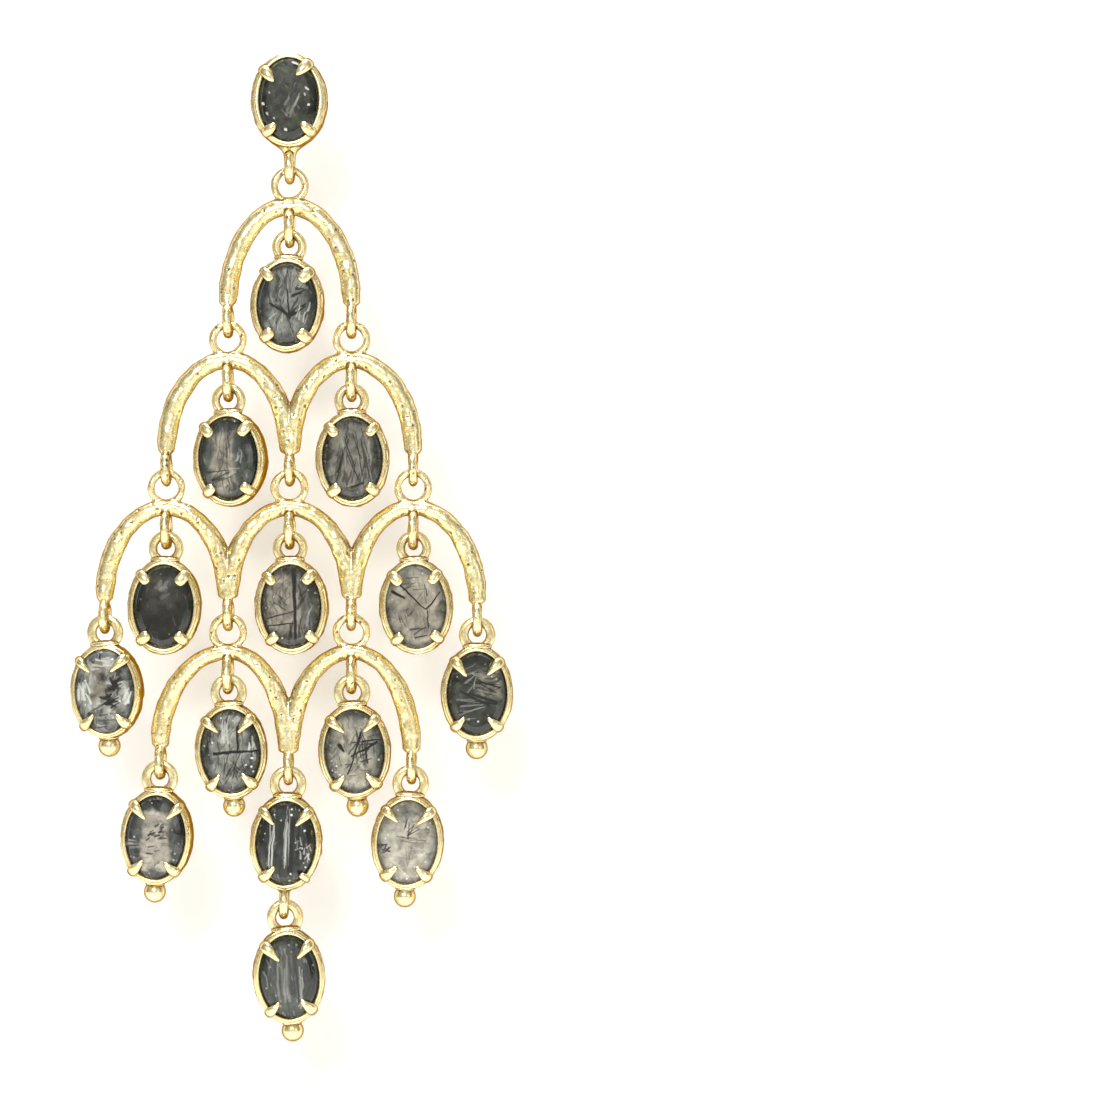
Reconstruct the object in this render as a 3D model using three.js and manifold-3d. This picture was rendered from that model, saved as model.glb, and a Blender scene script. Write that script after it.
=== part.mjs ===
// A chandelier earring: a claw-set oval stud carries four tiers of textured gold arches, and every arch
// and free foot carries a claw-set oval stone. The tiers and drops hang by rings passed through loops.
//
// Millimetres. +Z is up, the face looks along -Y, and the ear post points along +Y.
// The origin is where the ear post leaves the flat back of the stud.

import * as THREE from "three";
import { mergeVertices } from "three/addons/utils/BufferGeometryUtils.js";
import Module from "manifold-3d";

// The stones: flat-topped ovals, all cut to one size.
const STONE_WIDTH = 5;
const STONE_HEIGHT = 7;
const STONE_CROWN = 0.55; // girdle to table
const STONE_GIRDLE = 0.2; // the straight edge
const STONE_PAVILION = 1.5; // girdle to the flat at the back

// The rows of a stone's facets, from the table to the flat at the back. Depth is a share of the crown or
// of the pavilion, and width and height are shares of the stone's.
const STONE_ROWS = [
  { part: "crown", depth: 1, width: 0.66, height: 0.76, sides: 8 },
  { part: "crown", depth: 0, width: 1, height: 1, sides: 16 },
  { part: "pavilion", depth: 0, width: 1, height: 1, sides: 16 },
  { part: "pavilion", depth: 1, width: 0.42, height: 0.66, sides: 8 },
];

// The settings: an oval band with an inner seat, open at the back.
const RIM = 0.47; // how far the band's front edge stands outside the stone
const BAND_DEPTH = 2.4;
const BACK_DRAFT = 0.15; // how far the band draws in at the back
const BAND_WALL = 0.55; // the band's thickness at the back
const SEAT_CLEARANCE = 0.06; // round the girdle's back edge
const GIRDLE_SINK = 0.12; // the girdle lies this far behind the band's front edge
const SEAT_GAP = 0.9; // between the pavilion and the narrowest part of the band
const SEAT_WIDTH = 0.18; // how far in under the stone the band reaches

// The claws.
const CLAW_HEIGHT = 0.66; // over the band's front edge
const CLAW_THICKNESS = 0.42;
const CLAW_KINDS = {
  bead: { width: 0.86, reach: 0.78 }, // reach is how far in over the stone a claw goes
  point: { width: 0.84, reach: 1.4 },
};

// The sections of a claw, from its root in the band to its tip. Along is a share of the claw's reach, or
// of the band's rim outside the stone where it is negative. Rise is a share of the height, and width and
// thick are shares of the claw's width and thickness.
const CLAW_SECTIONS = {
  bead: [
    { along: -0.55, rise: -0.2, width: 0.66, thick: 0.6 },
    { along: -0.6, rise: 0.25, width: 0.9, thick: 0.85 },
    { along: 0.15, rise: 0.82, width: 1, thick: 0.95 },
    { along: 1, rise: 1, width: 0.6, thick: 0.6 },
  ],
  point: [
    { along: -0.55, rise: -0.2, width: 0.7, thick: 0.6 },
    { along: -0.62, rise: 0.25, width: 1, thick: 0.9 },
    { along: 0.1, rise: 0.88, width: 0.95, thick: 1 },
    { along: 1, rise: 1, width: 0.17, thick: 0.38 },
  ],
};

// Where the four claws stand: the place on the girdle and the direction across the stone, both in degrees
// above the stone's level line, and how much of its length over the stone each one keeps.
const CLAW_PLACES = [
  { side: -1, end: 1, place: 48, aim: 45, reach: 1 },
  { side: 1, end: 1, place: 48, aim: 45, reach: 1 },
  { side: -1, end: -1, place: 50, aim: 42, reach: 0.82 },
  { side: 1, end: -1, place: 50, aim: 42, reach: 0.82 },
];

// The ring on top of a drop, its ball, and the loops and rings of the arches.
const DROP_RING_HOLE = 0.73; // radius
const DROP_RING_WIRE = 0.76; // diameter
const DROP_RING_RISE = 0.9; // ring's centre above the band
const BALL_RADIUS = 0.95;
const BALL_DROP = 0.6; // ball's centre below the band
const LOOP_HOLE = 0.72; // radius
const LOOP_WIRE = 0.78; // diameter
const LOOP_BITE = 0.2; // how far a loop is let into what carries it
const JOINED_BITE = 0.5; // and the loop under the middle end drop
const ARCH_RING_HOLE = 0.97; // radius
const ARCH_RING_WIRE = 0.62; // diameter
const HOOK_HOLE = 1; // radius of the loop under a crown
const HOOK_WIRE = 0.78; // diameter
const LINK_CLEARANCE = 0.1; // between a ring and the loop that it hangs in

// The arches: bars bent to half an ellipse. Side gap is the clear space between a drop and its arch's leg.
const LEG_WIDTH = 1.64;
const BAR_DEPTH = 1.5;
const SIDE_GAP = 1.38;
const RISE_OVER_STONE = 0.6; // how much taller than a stone an arch is, from its feet to its crown's middle
const STEM_SPREAD = 0.12; // two legs that share a foot stand this far to each side of it
const FOOT_ROUND = 0.22; // length of the narrowed end of a foot
const FOOT_NARROWING = 0.3; // share of its width that it loses

// A bar's width from foot to crown. Up is a share of the arch's rise, leg and crown are the shares
// of those two widths that make the width there, and depth is a share of the bar's depth.
const BAR_WIDTHS = [
  { up: 0, leg: 0.84, crown: 0, depth: 0.86 },
  { up: 0.14, leg: 0.98, crown: 0, depth: 0.96 },
  { up: 0.45, leg: 1, crown: 0, depth: 1 },
  { up: 0.85, leg: 0.4, crown: 0.6, depth: 1 },
  { up: 1, leg: 0, crown: 1, depth: 1 },
];

// The tiers from the top. Crown is the bar's width there as a share of a leg's, and longer is how much
// further down each foot reaches, from left to right, as a share of an arch's rise. Aside is how far to
// the right of its even place each foot stands, as a share of the pitch.
const TIERS = [
  { node: "tier_1_arch", arches: 1, crown: 0.93, longer: [0.062, 0.062], aside: [0, 0] },
  { node: "tier_2_arches", arches: 2, crown: 0.89, longer: [0, 0, 0], aside: [0, 0, 0] },
  { node: "tier_3_arches", arches: 3, crown: 0.83, longer: [0, -0.033, -0.033, 0.026], aside: [0, 0, 0, 0.02] },
  { node: "tier_4_arches", arches: 2, crown: 0.8, longer: [0.018, 0.08, 0.071], aside: [-0.048, -0.01, -0.014] },
];

// The kinds of drop: the claws that hold its stone, and what is under it.
const DROP_KINDS = {
  inner: { claws: "bead", end: "plain" },
  fringe: { claws: "point", end: "ball" },
  joined: { claws: "point", end: "loop" },
};

// The drops. Each hangs on the hook of an arch or on the loop of a foot, counted from the left. Turn is
// about the upright, and lean carries the drop's lower end to the right, both in degrees.
const DROPS = [
  { name: "tier_1_drop", tier: 0, hook: 0, kind: "inner", tone: "grey", turn: 1, lean: -1.7 },
  { name: "tier_2_drop_left", tier: 1, hook: 0, kind: "inner", tone: "grey", turn: -7, lean: 2.2 },
  { name: "tier_2_drop_right", tier: 1, hook: 1, kind: "inner", tone: "grey", turn: 2, lean: 1 },
  { name: "tier_3_drop_left", tier: 2, hook: 0, kind: "inner", tone: "dark", turn: 0, lean: -1.3 },
  { name: "tier_3_drop_middle", tier: 2, hook: 1, kind: "inner", tone: "grey", turn: 1, lean: 1.6 },
  { name: "tier_3_drop_right", tier: 2, hook: 2, kind: "inner", tone: "clear", turn: 1, lean: 2.5 },
  { name: "tier_3_end_left", tier: 2, foot: 0, kind: "fringe", tone: "clear", turn: -5, lean: 2.2 },
  { name: "tier_3_end_right", tier: 2, foot: 3, kind: "fringe", tone: "dark", turn: 1, lean: -0.3 },
  { name: "tier_4_drop_left", tier: 3, hook: 0, kind: "fringe", tone: "clear", turn: 1, lean: 2.8 },
  { name: "tier_4_drop_right", tier: 3, hook: 1, kind: "fringe", tone: "grey", turn: 1, lean: 2.8 },
  { name: "tier_4_end_left", tier: 3, foot: 0, kind: "fringe", tone: "grey", turn: -2, lean: -2.5 },
  { name: "tier_4_end_middle", tier: 3, foot: 1, kind: "joined", tone: "dark", turn: 2, lean: -1.9 },
  { name: "tier_4_end_right", tier: 3, foot: 2, kind: "fringe", tone: "clear", turn: 1, lean: -3 },
];
const LAST_DROP = { name: "last_drop", kind: "fringe", tone: "dark", turn: 3, lean: 5.8 };

// The stud, its neck and its post.
const STUD_RIM = 0.42; // how far the band stands outside its stone at the ends
const STUD_RIM_SIDE = 0.66; // and at the sides
const STUD_DEPTH = 2.8;
const BACK_PLATE = 0.5;
const NECK_TOP_WIDTH = 2.2;
const NECK_WIDTH = 1.05;
const NECK_DEPTH = 1.3;
const NECK_LENGTH = 0.82; // from the stud's band to the top of the hole in its loop
const NECK_BITE = 0.25; // how far a neck is let into the band
// A neck's sections. Down is a share of its length and flare a share of what its top is wider by.
const NECK_SECTIONS = [
  { down: 0, flare: 1 },
  { down: 0.5, flare: 0.25 },
  { down: 1, flare: 0 },
];

const PEDESTAL_TOP_WIDTH = 1.5; // over the loop under the middle end drop
const POST_DIAMETER = 0.9;
const POST_LENGTH = 10.5;
const POST_TIP = 0.3; // length of the post's chamfered tip
const POST_TIP_DIAMETER = 0.45;

// How finely round shapes are cut.
const BAND_SIDES = 16;
const RING_SIDES = 10;
const WIRE_SIDES = 5;
const CLAW_SIDES = 4;
const BAR_STEPS = 10;
const BAR_SIDES = 8;
const NECK_SIDES = 8;
const POST_SIDES = 12;
const BALL_AROUND = 10;
const BALL_DOWN = 5;
const SLIVER = 0.02; // detail finer than this is taken off where pieces join

// What follows from those sizes.
const BAND_HALF_HEIGHT = STONE_HEIGHT / 2 + RIM;
const ARCH_PITCH = STONE_WIDTH + 2 * RIM + 2 * SIDE_GAP + LEG_WIDTH;
const ARCH_RISE = STONE_HEIGHT + RISE_OVER_STONE;
const DROP_RING_ARM = DROP_RING_HOLE + DROP_RING_WIRE / 2; // ring's centre to the middle of its wire
const ARCH_RING_ARM = ARCH_RING_HOLE + ARCH_RING_WIRE / 2;
const HOOK_ARM = HOOK_HOLE + HOOK_WIRE / 2;
const LOOP_OUTER = LOOP_HOLE + LOOP_WIRE;
const STUD_TO_LOOP = STONE_HEIGHT / 2 + STUD_RIM + NECK_LENGTH + LOOP_HOLE; // from centre to centre

const GOLD = new THREE.MeshStandardMaterial({ name: "gold", color: 0xe6cf8b, roughness: 0.3, metalness: 1 });
const STONE_TONES = {
  dark: new THREE.MeshStandardMaterial({ name: "quartz_dark", color: 0x31382f, roughness: 0.06 }),
  grey: new THREE.MeshStandardMaterial({ name: "quartz_grey", color: 0x6b6a66, roughness: 0.06 }),
  clear: new THREE.MeshStandardMaterial({ name: "quartz_clear", color: 0xa39c93, roughness: 0.06 }),
};

const wasm = await Module();
wasm.setup();

const radians = THREE.MathUtils.degToRad;

// Joins rows of points, each a closed outline, into one closed solid. Neighbouring rows have as many
// points as each other, or one has twice as many. The end rows are capped, unless the rows close on
// themselves.
function skin(rows, closed = false) {
  const points = [];
  const starts = rows.map((row) => {
    points.push(...row);
    return points.length - row.length;
  });
  const triangles = [];
  const pairs = closed ? rows.length : rows.length - 1;
  for (let i = 0; i < pairs; i++) {
    const next = (i + 1) % rows.length;
    triangles.push(...band(starts[i], rows[i].length, starts[next], rows[next].length));
  }
  if (!closed) {
    const last = rows.length - 1;
    triangles.push(...cap(starts[0], rows[0].length, true));
    triangles.push(...cap(starts[last], rows[last].length, false));
  }
  const geometry = new THREE.BufferGeometry().setFromPoints(points);
  geometry.setIndex(triangles);
  return geometry;
}

// The triangles between two rows of points.
function band(startA, countA, startB, countB) {
  const found = [];
  if (countA === countB) {
    for (let k = 0; k < countA; k++) {
      const n = (k + 1) % countA;
      found.push(startA + k, startA + n, startB + n);
      found.push(startA + k, startB + n, startB + k);
    }
    return found;
  }
  const fineIsB = countB > countA;
  const [coarse, count, fine] = fineIsB ? [startA, countA, startB] : [startB, countB, startA];
  for (let k = 0; k < count; k++) {
    // Corner k of the coarse row stands over corner 2k + 1 of the fine one.
    const corners = [2 * k, 2 * k + 1, (2 * k + 2) % (2 * count)].map((c) => fine + c);
    const here = coarse + k;
    const next = coarse + ((k + 1) % count);
    const faces = [
      [here, corners[1], corners[0]],
      [here, corners[2], corners[1]],
      [here, next, corners[2]],
    ];
    for (const face of faces) found.push(...(fineIsB ? face : face.reverse()));
  }
  return found;
}

// A fan of triangles over a flat row of points.
function cap(start, count, first) {
  const found = [];
  for (let k = 1; k < count - 1; k++) {
    found.push(start, ...(first ? [start + k + 1, start + k] : [start + k, start + k + 1]));
  }
  return found;
}

// A closed geometry as a solid, turned right side out.
function solid(geometry) {
  const bare = geometry.clone();
  bare.deleteAttribute("normal");
  bare.deleteAttribute("uv");
  const merged = mergeVertices(bare, 1e-5);
  const triVerts = new Uint32Array(merged.index.array);
  if (signedVolume(merged) < 0) {
    for (let i = 0; i < triVerts.length; i += 3) {
      [triVerts[i + 1], triVerts[i + 2]] = [triVerts[i + 2], triVerts[i + 1]];
    }
  }
  const vertProperties = merged.attributes.position.array;
  return new wasm.Manifold(new wasm.Mesh({ numProp: 3, vertProperties, triVerts }));
}

function signedVolume(geometry) {
  const corners = [new THREE.Vector3(), new THREE.Vector3(), new THREE.Vector3()];
  let total = 0;
  for (let i = 0; i < geometry.index.count; i += 3) {
    corners.forEach((corner, k) =>
      corner.fromBufferAttribute(geometry.attributes.position, geometry.index.getX(i + k)),
    );
    total += corners[0].dot(corners[1].cross(corners[2])) / 6;
  }
  return total;
}

// A solid's surface as a geometry.
function surface(body) {
  const mesh = body.getMesh();
  const geometry = new THREE.BufferGeometry();
  geometry.setAttribute("position", new THREE.BufferAttribute(new Float32Array(mesh.vertProperties), 3));
  geometry.setIndex(new THREE.BufferAttribute(new Uint32Array(mesh.triVerts), 1));
  geometry.computeVertexNormals();
  return geometry;
}

// A solid from one geometry, facing out.
function cut(geometry) {
  return surface(solid(geometry));
}

// Soldered or cast pieces as one geometry, without the slivers that joining them leaves.
function soldered(geometries) {
  const whole = geometries.map(solid).reduce((joined, next) => joined.add(next));
  return surface(whole.simplify(SLIVER));
}

function piece(name, geometry, material) {
  const mesh = new THREE.Mesh(geometry, material);
  mesh.name = name;
  return mesh;
}

// An oval outline facing the viewer, as a row of points. Its first point is on the right.
function oval(halfWidth, halfHeight, y, sides, offset = 0) {
  return Array.from({ length: sides }, (_, k) => {
    const angle = ((k + offset) / sides) * 2 * Math.PI;
    return new THREE.Vector3(halfWidth * Math.cos(angle), y, halfHeight * Math.sin(angle));
  });
}

// A flattened tube's section: sides points round centre, across and through being half its two sizes.
// Offset turns it by a share of a side, and none sets a flat on each axis.
function section(centre, across, through, sides, offset = 0.5) {
  return Array.from({ length: sides }, (_, k) => {
    const angle = ((k + offset) / sides) * 2 * Math.PI;
    return centre.clone().addScaledVector(across, Math.cos(angle)).addScaledVector(through, Math.sin(angle));
  });
}

// A stone round its own centre line, with its girdle's front edge at girdleY.
function stoneGeometry(girdleY) {
  const back = girdleY + STONE_GIRDLE;
  const rows = STONE_ROWS.map(({ part, depth, width, height, sides }) => {
    const y = part === "crown" ? girdleY - depth * STONE_CROWN : back + depth * STONE_PAVILION;
    const offset = sides === STONE_ROWS[0].sides ? 0.5 : 0;
    return oval((width * STONE_WIDTH) / 2, (height * STONE_HEIGHT) / 2, y, sides, offset);
  });
  return skin(rows);
}

// How much deeper the pavilion is for each millimetre further in from the girdle, where it is steepest.
function pavilionSlope() {
  const back = STONE_ROWS.find((row) => row.part === "pavilion" && row.depth > 0);
  return (back.depth * STONE_PAVILION) / (((1 - back.height) * STONE_HEIGHT) / 2);
}

// The oval band of a setting, from the outline of its wall. It may stand out further at its sides.
function bandGeometry(rim, rimSide, depth) {
  const front = -depth / 2;
  const back = depth / 2;
  const edge = GIRDLE_SINK + STONE_GIRDLE;
  const seat = edge + SEAT_WIDTH * pavilionSlope() + SEAT_GAP;
  const slope = (SEAT_WIDTH + SEAT_CLEARANCE) / (seat - edge);
  const outline = [
    { out: SEAT_CLEARANCE + edge * slope, y: front },
    { out: rim, y: front },
    { out: rim - BACK_DRAFT, y: back },
    { out: rim - BACK_DRAFT - BAND_WALL, y: back },
    { out: -SEAT_WIDTH, y: front + seat },
  ];
  const rows = outline.map(({ out, y }) => {
    const side = out > SEAT_CLEARANCE + edge * slope ? out + rimSide - rim : out;
    return oval(STONE_WIDTH / 2 + side, STONE_HEIGHT / 2 + out, y, BAND_SIDES);
  });
  return skin(rows, true);
}

// One claw of a setting whose band stands out this far and is this deep.
function clawGeometry(kind, { side, end, place, aim, reach }, rim, depth) {
  const root = new THREE.Vector3(
    (side * STONE_WIDTH * Math.cos(radians(place))) / 2,
    -depth / 2,
    (end * STONE_HEIGHT * Math.sin(radians(place))) / 2,
  );
  const inwards = new THREE.Vector3(-side * Math.cos(radians(aim)), 0, -end * Math.sin(radians(aim)));
  const forwards = new THREE.Vector3(0, -1, 0);
  const across = new THREE.Vector3().crossVectors(inwards, forwards);
  const stations = CLAW_SECTIONS[kind].map(({ along, rise, width, thick }) => ({
    width: width * CLAW_KINDS[kind].width,
    thick: thick * CLAW_THICKNESS,
    centre: root
      .clone()
      .addScaledVector(inwards, along * (along > 0 ? reach * CLAW_KINDS[kind].reach : rim))
      .addScaledVector(forwards, rise * CLAW_HEIGHT),
  }));
  const rows = stations.map(({ centre, width, thick }, k) => {
    const before = stations[Math.max(k - 1, 0)].centre;
    const after = stations[Math.min(k + 1, stations.length - 1)].centre;
    const through = new THREE.Vector3().subVectors(after, before).normalize().cross(across);
    across.setLength(width / 2);
    return section(centre, across, through.setLength(thick / 2), CLAW_SIDES, CLAW_SIDES / 4);
  });
  return skin(rows);
}

// A wire ring in the plane of the face, or edge-on to it, round a point on the upright through x.
function ringGeometry(hole, wire, x, z, edgeOn) {
  const ring = new THREE.TorusGeometry(hole + wire / 2, wire / 2, WIRE_SIDES, RING_SIDES);
  ring.rotateZ(Math.PI / 2);
  if (edgeOn) ring.rotateY(Math.PI / 2);
  else ring.rotateX(Math.PI / 2);
  return ring.translate(x, 0, z);
}

// A tapered neck between a band and a loop.
function neckGeometry(topWidth, width, depth, top, bottom) {
  const rows = NECK_SECTIONS.map(({ down, flare }) => {
    const centre = new THREE.Vector3(0, 0, THREE.MathUtils.lerp(top, bottom, down));
    const across = new THREE.Vector3(THREE.MathUtils.lerp(width, topWidth, flare) / 2, 0, 0);
    return section(centre, across, new THREE.Vector3(0, depth / 2, 0), NECK_SIDES);
  });
  return skin(rows);
}

// A drop, hung from the middle of its ring's topmost wire.
function makeDrop({ name, kind, tone, turn, lean }) {
  const { claws, end } = DROP_KINDS[kind];
  const drop = new THREE.Group();
  const centre = -DROP_RING_ARM - DROP_RING_RISE - BAND_HALF_HEIGHT;
  const metal = [bandGeometry(RIM, RIM, BAND_DEPTH)];
  metal.push(...CLAW_PLACES.map((place) => clawGeometry(claws, place, RIM, BAND_DEPTH)));
  metal.push(ringGeometry(DROP_RING_HOLE, DROP_RING_WIRE, 0, BAND_HALF_HEIGHT + DROP_RING_RISE, false));
  if (end === "ball") {
    const ball = new THREE.SphereGeometry(BALL_RADIUS, BALL_AROUND, BALL_DOWN);
    metal.push(ball.rotateX(Math.PI / 2).translate(0, 0, -BAND_HALF_HEIGHT - BALL_DROP));
  }
  if (end === "loop") {
    const loopCentre = -BAND_HALF_HEIGHT + JOINED_BITE - LOOP_OUTER;
    metal.push(ringGeometry(LOOP_HOLE, LOOP_WIRE, 0, loopCentre, true));
    const top = -BAND_HALF_HEIGHT + NECK_BITE;
    const bottom = loopCentre + LOOP_HOLE + LOOP_BITE;
    metal.push(neckGeometry(PEDESTAL_TOP_WIDTH, LOOP_WIRE, NECK_DEPTH, top, bottom));
    const last = makeDrop(LAST_DROP);
    last.position.z = centre + loopCentre - LOOP_HOLE + LINK_CLEARANCE + DROP_RING_WIRE / 2;
    drop.add(last);
  }
  const setting = piece(name + "_setting", soldered(metal), GOLD);
  const stone = piece(name + "_stone", cut(stoneGeometry(-BAND_DEPTH / 2 + GIRDLE_SINK)), STONE_TONES[tone]);
  setting.position.z = centre;
  stone.position.z = centre;
  drop.add(setting, stone);
  drop.rotation.set(0, radians(-lean), radians(turn), "YZX");
  return drop;
}

// The width and depth of an arch's bar at a share of its height.
function barSize(up, crownWidth) {
  const k = Math.max(1, BAR_WIDTHS.findIndex((row) => row.up >= up));
  const [low, high] = [BAR_WIDTHS[k - 1], BAR_WIDTHS[k]];
  const share = (up - low.up) / (high.up - low.up);
  const mix = (key) => THREE.MathUtils.lerp(low[key], high[key], share);
  return { width: mix("leg") * LEG_WIDTH + mix("crown") * crownWidth, depth: mix("depth") * BAR_DEPTH };
}

// One arch of a tier as half an ellipse from foot to foot, with the middle of its crown on z = 0.
function archGeometry(tier, at) {
  const rows = [];
  for (let k = 0; k <= BAR_STEPS; k++) {
    const angle = (k / BAR_STEPS) * Math.PI;
    const foot = angle < Math.PI / 2 ? at : at + 1;
    const shared = foot > 0 && foot < tier.arches;
    const reach = Math.abs(footX(tier, foot) - archX(tier, at)) - (shared ? STEM_SPREAD : 0);
    const rise = ARCH_RISE * (1 + tier.longer[foot]);
    const [cos, sin] = [Math.cos(angle), Math.sin(angle)];
    const centre = new THREE.Vector3(archX(tier, at) - reach * cos, 0, rise * (sin - 1));
    const outwards = new THREE.Vector3(-rise * cos, 0, reach * sin);
    const { width, depth } = barSize(sin, tier.crown * LEG_WIDTH);
    rows.push(section(centre, outwards.setLength(width / 2), new THREE.Vector3(0, depth / 2, 0), BAR_SIDES));
  }
  return skin([footEnd(rows[0]), ...rows, footEnd(rows[BAR_STEPS])]);
}

// The narrowed end of a foot, below the last section of its bar.
function footEnd(row) {
  const middle = new THREE.Vector3();
  for (const point of row) middle.addScaledVector(point, 1 / row.length);
  return row.map((point) => point.clone().lerp(middle, FOOT_NARROWING).setZ(middle.z - FOOT_ROUND));
}

// Heights in a tier, below the middle of its top rings' topmost wire.
function tierHeights({ crown }) {
  const ring = -ARCH_RING_ARM;
  const middle = ring - ARCH_RING_HOLE - (crown * LEG_WIDTH) / 2;
  const hook = middle - HOOK_ARM - HOOK_WIRE / 2;
  const loop = middle - ARCH_RISE - FOOT_ROUND + LOOP_BITE - LOOP_OUTER;
  return { ring, crown: middle, hook, loop };
}

// The height of one foot's loop.
function loopHeight(tier, foot) {
  return tierHeights(tier).loop - ARCH_RISE * tier.longer[foot];
}

// The height of the loops that the next tier hangs in. The middle foot, or the one right of the middle,
// always has one of them.
function carryingHeight(tier) {
  return loopHeight(tier, Math.ceil(tier.arches / 2));
}

// The height of a link that rests in a loop, at the middle of its topmost wire.
function restsIn(loopCentre, loopHole, wire) {
  return loopCentre - loopHole + LINK_CLEARANCE + wire / 2;
}

// Where a tier's arches and feet stand from left to right.
const archX = (tier, k) => (k - (tier.arches - 1) / 2) * ARCH_PITCH;
const footX = (tier, k) => (k - tier.arches / 2 + tier.aside[k]) * ARCH_PITCH;

// One tier with the drops that it carries, hung from the middle of its rings' topmost wire.
function makeTier(index) {
  const tier = TIERS[index];
  const heights = tierHeights(tier);
  const metal = [];
  for (let k = 0; k < tier.arches; k++) {
    metal.push(archGeometry(tier, k).translate(0, 0, heights.crown));
    metal.push(ringGeometry(ARCH_RING_HOLE, ARCH_RING_WIRE, archX(tier, k), heights.ring, false));
    metal.push(ringGeometry(HOOK_HOLE, HOOK_WIRE, archX(tier, k), heights.hook, true));
  }
  for (let k = 0; k <= tier.arches; k++) {
    metal.push(ringGeometry(LOOP_HOLE, LOOP_WIRE, footX(tier, k), loopHeight(tier, k), true));
  }
  const group = new THREE.Group();
  group.add(piece(tier.node, soldered(metal), GOLD));
  for (const row of DROPS.filter((entry) => entry.tier === index)) {
    const drop = makeDrop(row);
    if (row.foot === undefined) {
      drop.position.x = archX(tier, row.hook);
      drop.position.z = restsIn(heights.hook, HOOK_HOLE, DROP_RING_WIRE);
    } else {
      drop.position.x = footX(tier, row.foot);
      drop.position.z = restsIn(loopHeight(tier, row.foot), LOOP_HOLE, DROP_RING_WIRE);
    }
    group.add(drop);
  }
  if (index + 1 < TIERS.length) {
    const next = makeTier(index + 1);
    next.position.z = restsIn(carryingHeight(tier), LOOP_HOLE, ARCH_RING_WIRE);
    group.add(next);
  }
  return group;
}

// The ear post, from the stud's back plate to its chamfered tip.
function postGeometry(depth) {
  const root = depth / 2 - BACK_PLATE / 2;
  const tip = depth / 2 + POST_LENGTH;
  const rows = [
    { y: root, radius: POST_DIAMETER / 2 },
    { y: tip - POST_TIP, radius: POST_DIAMETER / 2 },
    { y: tip, radius: POST_TIP_DIAMETER / 2 },
  ].map(({ y, radius }) => oval(radius, radius, y, POST_SIDES));
  return skin(rows);
}

// The stud with its post, round the middle of its stone and halfway through its band.
function makeStud() {
  const stud = new THREE.Group();
  const bandEdge = STONE_HEIGHT / 2 + STUD_RIM;
  const plateOut = BACK_DRAFT + BAND_WALL / 2;
  const plate = [STUD_DEPTH / 2 - BACK_PLATE, STUD_DEPTH / 2].map((y) =>
    oval(STONE_WIDTH / 2 + STUD_RIM_SIDE - plateOut, STONE_HEIGHT / 2 + STUD_RIM - plateOut, y, BAND_SIDES),
  );
  const metal = [bandGeometry(STUD_RIM, STUD_RIM_SIDE, STUD_DEPTH), skin(plate), postGeometry(STUD_DEPTH)];
  metal.push(...CLAW_PLACES.map((place) => clawGeometry("point", place, STUD_RIM, STUD_DEPTH)));
  const neckBottom = -bandEdge - NECK_LENGTH + LOOP_BITE;
  metal.push(neckGeometry(NECK_TOP_WIDTH, NECK_WIDTH, NECK_DEPTH, -bandEdge + NECK_BITE, neckBottom));
  metal.push(ringGeometry(LOOP_HOLE, LOOP_WIRE, 0, -STUD_TO_LOOP, true));
  stud.add(piece("stud_setting", soldered(metal), GOLD));
  stud.add(piece("stud_stone", cut(stoneGeometry(-STUD_DEPTH / 2 + GIRDLE_SINK)), STONE_TONES.dark));
  return stud;
}

const earring = new THREE.Group();
earring.name = "chandelier_earring";
const hung = new THREE.Group();
hung.position.y = -STUD_DEPTH / 2;
const chandelier = makeTier(0);
chandelier.position.z = restsIn(-STUD_TO_LOOP, LOOP_HOLE, ARCH_RING_WIRE);
hung.add(makeStud(), chandelier);
earring.add(hung);

export default earring;
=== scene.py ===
"""Dresses a chandelier earring: hammered gold arches in tiers, claw-set oval quartzes and a stud.

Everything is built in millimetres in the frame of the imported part, and made metres when a piece is finished.
"""

from __future__ import annotations

import logging
import math
import random
from collections.abc import Callable, Sequence
from dataclasses import dataclass, field
from enum import Enum

import bpy
from mathutils import Matrix, Vector, noise

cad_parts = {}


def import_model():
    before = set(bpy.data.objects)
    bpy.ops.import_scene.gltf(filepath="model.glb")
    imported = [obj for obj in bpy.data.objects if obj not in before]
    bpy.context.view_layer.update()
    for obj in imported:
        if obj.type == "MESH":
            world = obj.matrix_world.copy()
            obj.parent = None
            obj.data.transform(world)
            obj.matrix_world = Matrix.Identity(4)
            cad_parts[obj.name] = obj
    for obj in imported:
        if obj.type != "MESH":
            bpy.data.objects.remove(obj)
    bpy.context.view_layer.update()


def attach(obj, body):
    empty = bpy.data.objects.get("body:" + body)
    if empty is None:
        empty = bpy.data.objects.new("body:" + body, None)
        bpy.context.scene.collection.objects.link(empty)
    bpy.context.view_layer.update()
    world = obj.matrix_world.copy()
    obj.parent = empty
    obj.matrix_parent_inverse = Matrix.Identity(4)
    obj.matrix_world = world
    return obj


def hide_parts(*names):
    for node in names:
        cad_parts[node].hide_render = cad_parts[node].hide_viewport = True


LOG = logging.getLogger("earring")
MM = 0.001  # metres in a millimetre
PHOTO_PIXELS = 1095
PHOTO_SCALE = 0.0835  # millimetres that one pixel of the photograph covers

# Edges sharper than this, in degrees, stay sharp.
METAL_CREASE = 50
ARCH_CREASE = 80
STONE_CREASE = 9

Triple = tuple[float, float, float]
Colour = Triple
Row = list[Vector]


class ClawKind(Enum):
    """How the claws of a setting end."""

    BEAD = "bead"
    POINT = "point"
    SHORT = "short"


class Underneath(Enum):
    """What a drop carries under its band."""

    NOTHING = "nothing"
    BALL = "ball"
    LOOP = "loop"


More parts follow.
